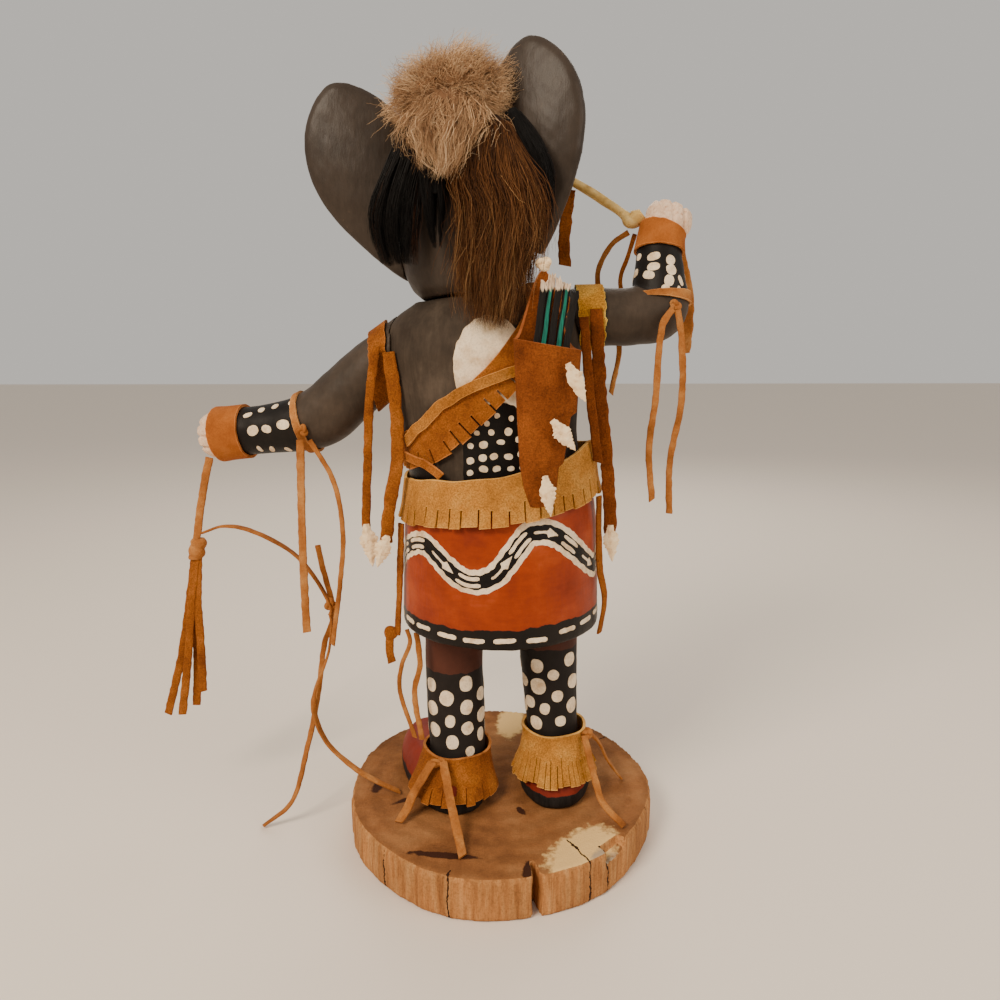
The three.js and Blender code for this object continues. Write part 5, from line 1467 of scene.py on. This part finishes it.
# the topknot's core, in painted deep shade
core = corePiece("topknotCore", coreShape(topknot["centre"], topknot["size"], 0.66, 305), 0.16)
for part in range(topknot["parts"]):
    paths, tones = topknotStrands(301 + 40 * part)
    tuft = combed("furTopknot.%d" % (part + 1), paths, tones, topknot["radius"], 0.35, beigeFur)
    finished(joined(tuft.name, [tuft] + ([] if part else [core])), beigeFur, ["topknot"])
furNodes = {"topknotFall": ("topknot", beigeFur, "beige_fur"), "furTail": ("fur_tail", brownFur, "brown_fur"),
    "leftHair": ("left_hair", blackHair, "black_hair"), "centreHair": ("left_hair", blackHair, "black_hair"),
    "rightHair": ("right_hair", blackHair, "black_hair")}
for number, (name, lock) in enumerate(locks.items()):
    node, look, slotName = furNodes[name]
    thin = [(x, y, z, a * 0.62, b * 0.62) for x, y, z, a, b in lock["line"][:-2]]
    # each lock's core, in painted deep shade
    core = corePiece(name + "Core", closedTube(limbRings(thin, 30, 16)), 0.08)
    for part in range(lock["parts"]):
        paths, tones = lockStrands(lock["line"], lock["count"], 320 + 20 * number + 7 * part,
            firstEnd=lock["firstEnd"], frizz=lock["frizz"], clump=lock["clump"], clumps=lock["clumps"])
        tuft = combed("%s.%d" % (name, part + 1), paths, tones, lock["radius"], 0.25, look)
        finished(joined(tuft.name, [tuft] + ([] if part else [core])), look, [node])
print("stage: fur and hair")


# painted patterns: thin coats laid on the carved wood
def coatLook(name, colour, worn, roughness):
    look, tree, shader, coords = startLook(name, roughness)
    cloud = noiseAt(tree, coords, 160, 5, 0.6)
    fine = noiseAt(tree, coords, 1100, 4, 0.65)
    tone = ramp(tree, cloud, [(0.3, worn), (0.55, colour)])
    fleck = ramp(tree, fine, [(0.28, grey(0.78)), (0.55, grey(1.04))])
    tree.links.new(mixed(tree, 1.0, tone, fleck, "MULTIPLY"), shader.inputs["Base Color"])
    bumped(tree, shader, fine, 0.35, 0.0005)
    return look


creamPaint = coatLook("creamPaint", rgb(238, 216, 184), rgb(204, 172, 134), 0.55)
blackPaint = coatLook("blackPaint", rgb(20, 15, 12), rgb(9, 7, 6), 0.34)
figureTree = BVHTree.FromObject(figure, bpy.context.evaluated_depsgraph_get())


def coated(angle, z, lift):  # places on the trunk in degrees and mm, lifted off the carved figure
    points = trunkPoint(np.radians(angle), z)
    flat = points.reshape(-1, 3)
    for i, q in enumerate(flat):
        spot, normal, face, gap = figureTree.find_nearest(Vector(q) * mm)
        flat[i] = np.array(spot) / mm + np.array(normal) * lift
    return points


def degreeSize(angle, z):  # mm of the trunk's surface to one degree
    step = trunkPoint(np.radians(angle + 1), z) - trunkPoint(np.radians(angle - 1), z)
    return np.linalg.norm(step, axis=-1) / 2


def stroke(line, half, lift, aside=0.0, rows=5, closed=False, seed=0, ragged=0.25):  # line of (degrees, z) points
    size = degreeSize(line[:, 0], line[:, 1])
    along = np.gradient(line, axis=0) * np.stack([size, np.ones(len(size))], 1)
    along /= np.linalg.norm(along, axis=1, keepdims=True)
    across = np.stack([-along[:, 1] / size, along[:, 0]], 1)
    if closed:
        line, across, half = line[1:-1], across[1:-1], half[1:-1]
    spot = trunkPoint(np.radians(line[:, 0]), line[:, 1])
    upper, lower = (np.maximum(half + ragged * ripple(spot, 5, seed + k), 0.12) for k in (0, 1))
    shares = np.linspace(-1, 1, rows)[None]
    reach = aside + np.where(shares > 0, shares * upper[:, None], shares * lower[:, None])
    angle = line[:, :1] + across[:, :1] * reach
    z = line[:, 1:] + across[:, 1:] * reach
    return leatherShell(coated(angle, z, -0.3), coated(angle, z, lift), None, closed)


# paint inside an outline of (degrees, z) points
def blot(centre, outline, lift, rings=16, count=120, ragged=0.3, seed=0):
    edge = np.vstack([outline, outline[:1]]).astype(float)
    run = np.concatenate([[0], np.cumsum(np.linalg.norm(np.diff(edge, axis=0), axis=1))])
    at = np.linspace(0, run[-1], count, endpoint=False)
    edge = np.stack([np.interp(at, run, edge[:, k]) for k in (0, 1)], 1)
    edge += ragged * ripple(np.stack([edge[:, 0], edge[:, 1], edge[:, 0] * 0], 1), 6, seed)[:,
        None] * np.sign(edge - centre)
    shares = np.linspace(0.05, 1, rings)[:, None, None]
    grid = np.array(centre) + (edge[None] - centre) * shares
    upper, lower = (coated(grid[..., 0], grid[..., 1], height) for height in (lift, -0.3))
    return closedTube(list(upper) + list(lower[::-1]))


serpent = {"whiteHalf": 6.2, "blackHalf": 3.5, "dashHalf": 0.95, "dashAside": 1.75, "headHalf": 2.4,
    "shaftHalf": 0.65, "outlineLift": 0.1, "bodyLift": 0.18, "markLift": 0.26}
serpentPath = np.array([(195.5, 166.4), (208.8, 172.8), (216.8, 175), (223.3, 174.8), (230.5, 171), (236.9, 166.8),
    (242.7, 163), (250, 159.8), (256.5, 159.5), (261.7, 160.7), (266.4, 163), (270.8, 167.7), (275.5, 173.3),
    (280.4, 178.9), (285.6, 182.6), (291.2, 183), (295.3, 182.5), (302.3, 180), (309.6, 175.2), (317.4, 169.7),
    (327.1, 163.4)] + [(a, 168.3 - 9.4 * math.cos((a - 337) / 211 * 6 * np.pi)) for a in np.arange(337, 552, 7.03)])
turns = [serpentPath + np.array([360 * k, 0]) for k in (-1, 0, 1)]
serpentCurve = flowLine(np.hstack([np.vstack(turns), np.zeros((len(serpentPath) * 3, 1))]), 3000)


def onSerpent(start, stop, count):
    angle = np.linspace(start, stop, count)
    return np.stack([angle, np.interp(angle, serpentCurve[:, 0], serpentCurve[:, 1])], 1)


def dash(line, half, lift, aside=0.0, seed=0):
    t = np.linspace(0, 1, len(line))
    width = half * np.interp(t, [0, 0.1, 0.9, 1], [0.45, 1, 1, 0.45])
    return stroke(line, width, lift, aside, 4, seed=seed, ragged=0.18)


loop = onSerpent(195.5 - 0.9, 555.5, 402)
whole = np.ones(len(loop))
outlineCoat = meshOf("serpentOutline", [stroke(loop, whole * serpent["whiteHalf"], serpent["outlineLift"], rows=13,
    closed=True, seed=501, ragged=0.4)])
finished(outlineCoat, creamPaint, ["body"], 40)
coreCoat = meshOf("serpentBody", [stroke(loop, whole * serpent["blackHalf"], serpent["bodyLift"], rows=9, closed=True,
    seed=503, ragged=0.35)])
finished(coreCoat, blackPaint, ["body"], 40)
dashTurns = [(193, 203), (207.5, 221.5), (245, 258), (275, 284.5),
    (305.5, 315.5)] + [(a, a + 12.5) for a in np.arange(340, 540, 36.6)]
arrowTurns = [(228, 242.7), (264, 275), (287.3, 302),
    (321, 333)] + [(a, a + 13.5) for a in np.arange(357.6, 540, 36.6)]
marks = []
for number, (start, stop) in enumerate(dashTurns):
    for side in (1, -1):
        marks.append(dash(onSerpent(start, stop, 12), serpent["dashHalf"], serpent["markLift"],
            side * serpent["dashAside"], 510 + number * 2))
for number, (start, stop) in enumerate(arrowTurns):
    t = np.linspace(0, 1, 22)
    half = np.interp(t, [0, 0.05, 0.56, 0.6, 1], [0.3, 1, 1, serpent["headHalf"] / serpent["shaftHalf"],
        0.2]) * serpent["shaftHalf"]
    marks.append(stroke(onSerpent(start, stop, 22), half, serpent["markLift"], rows=5, seed=550 + number,
        ragged=0.16))
hemDashes = [(205.5, 130.5), (220.7, 130.7), (238.4, 130), (254.5, 129.5), (271.1, 130), (288.8, 129.3),
    (308.4, 131.4), (324.9, 132.3), (341, 133)] + [(a, 132.6 - 0.03 * abs(a - 450)) for a in np.arange(358, 551,
    17.1)]
for number, (middle, z) in enumerate(hemDashes):
    tilt = 0.25 * math.sin(number * 2.1)
    marks.append(dash(np.array([(middle + 6 * s, z + tilt * s) for s in np.linspace(-1, 1, 12)]), 1.2, 0.16, 0,
        600 + number))
finished(meshOf("serpentMarks", marks), creamPaint, ["body"], 40)

disc = {"centre": (272, 260.5), "half": (21, 26)}
discEdge = [(disc["centre"][0] + disc["half"][0] * math.cos(a),
    disc["centre"][1] + disc["half"][1] * math.sin(a)) for a in roundAngles(90)]
frontDisc = [(90 - 22 * math.cos(a), 258 + 24 * math.sin(a)) for a in roundAngles(90)]
finished(meshOf("backDisc", [blot(disc["centre"], discEdge, 0.1, seed=640),
    blot((90, 258), frontDisc, 0.1, seed=641)]), creamPaint, ["body"], 40)
panelEdge = [(249, 204), (251.4, 220), (253.4, 236), (256, 239.6), (262, 242.5), (270, 244.4), (277, 245), (284, 243),
    (289, 239.6), (291.6, 235), (292.5, 220), (293, 204)]
# a black patch at the left of the waist, between the tie and the belt's top: painted shade of the gap where the belt
# stands off the torso
beltGapShadeEdge = [(184, 206), (208, 207), (232, 206.5), (231, 210), (222, 213.5), (208, 217), (194, 219.5), (184, 220)]
finished(meshOf("backPanel", [blot((271, 225), panelEdge, 0.18, seed=643),
    blot((208, 212), beltGapShadeEdge, 0.18, seed=645)]), blackPaint, ["body"], 40)
print("stage: kilt and back paint")


def dabTree():  # round dabs of paint on points, pressed onto a surface
    tree = bpy.data.node_groups.new("paintDabs", "GeometryNodeTree")
    face = tree.interface
    face.new_socket("Geometry", in_out="INPUT", socket_type="NodeSocketGeometry")
    face.new_socket("Disc", in_out="INPUT", socket_type="NodeSocketObject")
    face.new_socket("Surface", in_out="INPUT", socket_type="NodeSocketObject")
    face.new_socket("Lift", in_out="INPUT", socket_type="NodeSocketFloat").default_value = 0.0002
    face.new_socket("Raggedness", in_out="INPUT", socket_type="NodeSocketFloat").default_value = 0.0006
    face.new_socket("Seed", in_out="INPUT", socket_type="NodeSocketInt").default_value = 7
    face.new_socket("Material", in_out="INPUT", socket_type="NodeSocketMaterial")
    face.new_socket("Geometry", in_out="OUTPUT", socket_type="NodeSocketGeometry")
    start = place(tree, "NodeGroupInput").outputs

    def named(name, kind):
        return place(tree, "GeometryNodeInputNamedAttribute", {"Name": name}, data_type=kind).outputs["Attribute"]

    out, up, size = (named(name, "FLOAT_VECTOR") for name in ("dabOut", "dabUp", "dabSize"))
    turn = place(tree, "FunctionNodeAxesToRotation", {"Primary Axis": out, "Secondary Axis": up}, primary_axis="Z",
        secondary_axis="Y").outputs[0]
    tilt = place(tree, "FunctionNodeRandomValue", {"Seed": start["Seed"]}, data_type="FLOAT")
    tilt.inputs[2].default_value = -0.35
    tilt.inputs[3].default_value = 0.35
    spin = place(tree, "ShaderNodeCombineXYZ", {"Z": tilt.outputs[1]}).outputs[0]
    turn = place(tree, "FunctionNodeRotateRotation", {"Rotation": turn, "Rotate By": spin},
        rotation_space="LOCAL").outputs[0]
    disc = place(tree, "GeometryNodeObjectInfo", {"Object": start["Disc"]}).outputs["Geometry"]
    surface = place(tree, "GeometryNodeObjectInfo", {"Object": start["Surface"]}).outputs["Geometry"]
    dabs = place(tree, "GeometryNodeInstanceOnPoints",
        {"Points": start["Geometry"], "Instance": disc, "Rotation": turn, "Scale": size}).outputs[0]
    real = place(tree, "GeometryNodeRealizeInstances", {"Geometry": dabs}).outputs["Geometry"]
    spot = place(tree, "GeometryNodeInputPosition").outputs[0]
    noise = place(tree, "ShaderNodeTexNoise", {"Vector": spot, "Scale": 420.0, "Detail": 2.0},
        noise_dimensions="3D").outputs["Color"]
    off = vectorMaths(tree, "SUBTRACT", noise, (0.5, 0.5, 0.5))
    off = vectorMaths(tree, "SCALE", off, scale=start["Raggedness"])
    spot = vectorMaths(tree, "ADD", spot, off)
    level = named("dabLevel", "FLOAT")
    near = place(tree, "GeometryNodeProximity", {"Sample Position": spot}, target_element="FACES")
    tree.links.new(surface, near.inputs[0])
    wood = place(tree, "GeometryNodeInputNormal").outputs[0]
    normal = place(tree, "GeometryNodeSampleNearestSurface",
        {"Mesh": surface, "Value": wood, "Sample Position": spot}, data_type="FLOAT_VECTOR").outputs[0]
    high = maths(tree, "ADD", start["Lift"], 0.0003)
    high = maths(tree, "MULTIPLY", high, level)
    high = maths(tree, "SUBTRACT", high, 0.0003)
    raised = vectorMaths(tree, "SCALE", normal, scale=high)
    goal = vectorMaths(tree, "ADD", near.outputs["Position"], raised)
    laid = place(tree, "GeometryNodeSetPosition", {"Geometry": real, "Position": goal}).outputs["Geometry"]
    done = place(tree, "GeometryNodeSetMaterial", {"Geometry": laid,
        "Material": start["Material"]}).outputs["Geometry"]
    place(tree, "NodeGroupOutput", {"Geometry": done})
    return tree


def dabDisc():  # a flat round of unit size with an upper and a lower face
    a = roundAngles(18)
    outline = np.stack([np.cos(a), np.sin(a), a * 0], 1)
    outline /= np.sum(np.abs(outline) ** 2.4, axis=1, keepdims=True) ** (1 / 2.4)
    points, faces = closedTube([outline * s for s in (0.2, 0.45, 0.7, 0.9, 1, 1, 0.9, 0.7, 0.45, 0.2)])
    piece = bpy.data.objects.new("dabDisc", bpy.data.meshes.new("dabDisc"))
    piece.data.from_pydata([tuple(q) for q in points], [], faces)
    marked(piece.data, "dabLevel", [1] * 90 + [0] * 90 + [1, 0])
    bpy.context.scene.collection.objects.link(piece)
    return piece


dabNodes, unitDisc = dabTree(), dabDisc()


# dabs: (place, out, up, width, height)
def dabbed(name, dabs, surface, material, node, lift=0.22, ragged=0.7, seed=7):
    mesh = bpy.data.meshes.new(name)
    mesh.from_pydata([tuple(np.array(d[0]) * mm) for d in dabs], [], [])
    for key, values in (("dabOut", [d[1] for d in dabs]), ("dabUp", [d[2] for d in dabs]),
            ("dabSize", [(d[3] / 2 * mm, d[4] / 2 * mm, mm) for d in dabs])):
        mesh.attributes.new(key, "FLOAT_VECTOR", "POINT").data.foreach_set("vector",
            np.array(values, np.float32).ravel())
    piece = bpy.data.objects.new(name, mesh)
    bpy.context.scene.collection.objects.link(piece)
    grown(piece, dabNodes, {"Disc": unitDisc, "Surface": surface, "Lift": lift * mm, "Raggedness": ragged * mm,
        "Seed": seed, "Material": material})
    return finished(piece, material, [node], 50)


def trunkDab(angle, z, width, height):
    a = math.radians(angle)
    return trunkPoint(a, z), (math.cos(a), math.sin(a), 0), (0, 0, 1), width, height


panelDabs = [(274.2, 238.8, 2.7, 2.7), (282.6, 236.8, 2.7, 2.9), (268, 235.5, 2.7, 2.8), (280.6, 230.5, 3.8, 3.9),
    (270.1, 231, 2.9, 3.1), (261.4, 231.3, 2.7, 2.5), (275.7, 225.8, 4.1, 2.6), (264.9, 225.3, 4.2, 3.7),
    (256.9, 225.3, 3.2, 2.8), (270.6, 219.2, 3.8, 3.2), (279.6, 218.4, 4.2, 2.9), (263.7, 218.9, 3.8, 3.7),
    (255.7, 217.9, 3.8, 3.4), (263.4, 213.4, 4.5, 3.3), (271.4, 213.1, 4, 2.9), (280.3, 212.5, 3.5, 2.4),
    (254.5, 211.9, 3.4, 2.8), (265, 206.6, 4, 3), (288.5, 234, 3.6, 3.4), (287, 226, 3.6, 3.2),
    (287.6, 219, 3.6, 3.2), (288, 212.5, 3.6, 3)]
dabbed("panelDots", [trunkDab(*d) for d in panelDabs], figure, creamPaint, "body", 0.32)


def legDab(side, angle, z, width, height):
    stations = np.array(legStations(legs[side]))
    x, y, r = (np.interp(z, stations[:, 2], stations[:, k]) for k in (0, 1, 3))
    a = math.radians(angle)
    return (x + r * math.cos(a), y + r * math.sin(a), z), (math.cos(a), math.sin(a), 0), (0, 0, 1), width, height


legDots = {"left": [(217, 88.5, 7.9, 7.8), (295, 90.8, 7.6, 8.9), (254, 82.8, 8.3, 8.7), (334, 82.1, 7.6, 7.6),
    (218, 75.2, 8.7, 8.2), (295, 77.4, 7.4, 8.3), (260, 70, 5.8, 7.1), (336, 69.8, 9.2, 8), (223, 63.4, 8.1, 7.7),
    (295, 65.6, 7.2, 7.1), (329, 59.5, 5.7, 7.7), (263, 58.4, 7.1, 7.9), (299, 52.4, 5.6, 5.5)],
    "right": [(312, 102.8, 7.8, 8), (241, 99.8, 7.5, 8), (274, 95.2, 6.3, 6.1), (199, 88.5, 8, 7),
    (240, 87.9, 9.6, 9.3), (324, 89.2, 9.1, 8.2), (281, 82.8, 6.6, 6.6), (214, 77.1, 8, 7), (252, 75.2, 5.9, 6.8),
    (319, 75.5, 8.7, 8.3), (228, 65.9, 8.3, 7.7), (286, 68.2, 6.4, 5.9), (187, 72.7, 7.4, 7.4)]}
for side, dots in legDots.items():
    low = 84 if side == "left" else 96
    hidden = [(angle, low - 12.5 * row + (6 if turn % 2 else 0), 7.4, 7.4) for row in range(3) for turn,
        angle in enumerate((14, 52, 90, 128, 166))]
    dabbed(side + "LegDots", [legDab(side, *d) for d in dots + hidden], figure, creamPaint, "body",
        0.24)


def armDab(side, share, angle, width, height):
    stations = armStations[side]
    rings = np.array(limbRings(stations, 101, 72))
    spot = share * 100
    at = int(spot)
    ring = rings[at] + (rings[min(at + 1, 100)] - rings[at]) * (spot - at)
    middle, skin = ring.mean(0), ring[int(round(angle / 5)) % 72]
    out = (skin - middle) / np.linalg.norm(skin - middle)
    along = rings[min(at + 1, 100)].mean(0) - rings[max(at - 1, 0)].mean(0)
    return tuple(skin), tuple(out), tuple(along / np.linalg.norm(along)), width * 0.9, height * 0.9


armDots = {"left": [(0.767, 313, 3.2, 5.9), (0.712, 326, 3.8, 4.1), (0.652, 328, 4.4, 4.4), (0.569, 327, 3.7, 4.3),
    (0.744, 273, 5.8, 7.3), (0.684, 274, 4.6, 6.2), (0.612, 280, 5.7, 8), (0.744, 226, 5.6, 2.6),
    (0.694, 218, 5.9, 3.2), (0.634, 216, 5.2, 3.2)],
    "right": [(0.689, 244, 7.8, 4.9), (0.637, 243, 7.4, 4.9), (0.602, 237, 7.4, 4.9), (0.669, 287, 5.4, 6.2),
    (0.622, 285, 6.2, 6.2), (0.571, 279, 5.7, 6.5), (0.531, 270, 4.9, 5.3), (0.629, 194, 4.6, 5),
    (0.709, 202, 4.6, 4.2), (0.574, 308, 2.9, 6.2), (0.526, 300, 2.5, 5.3)]}
for side, dots in armDots.items():
    hidden = [(0.56 + 0.062 * row + (0.03 if turn % 2 else 0), angle, 5,
        5.4) for row in range(3 if side == "left" else 2) for turn,
        angle in enumerate((20, 62, 104, 146) if side == "left" else (0, 42, 84, 126, 162))]
    dabbed(side + "ArmDots", [armDab(side, *d) for d in dots + hidden], arms[side], creamPaint, side + "_arm",
        0.24)


def headDab(x, z, width, height, y=33):
    spot = turned([(x, y, z)], **headPlace)[0]
    out = turned([(0, 1, 0)], (0, 0, 0), headPlace["turn"], headPlace["lean"])[0]
    return tuple(spot), tuple(out), (0, 0, 1), width, height


dabbed("eyeRings", [headDab(13, 50, 13.5, 13.5), headDab(-13, 50, 13.5, 13.5)], head, creamPaint, "head",
    0.16)
dabbed("eyePaint", [headDab(13, 50, 8.6, 8.6), headDab(-13, 50, 8.6, 8.6), headDab(0, 23.5, 10, 9, 58)], head,
    blackPaint, "head", 0.3)
drop(unitDisc)
print("stage: dots")

drop(trunkCutter)
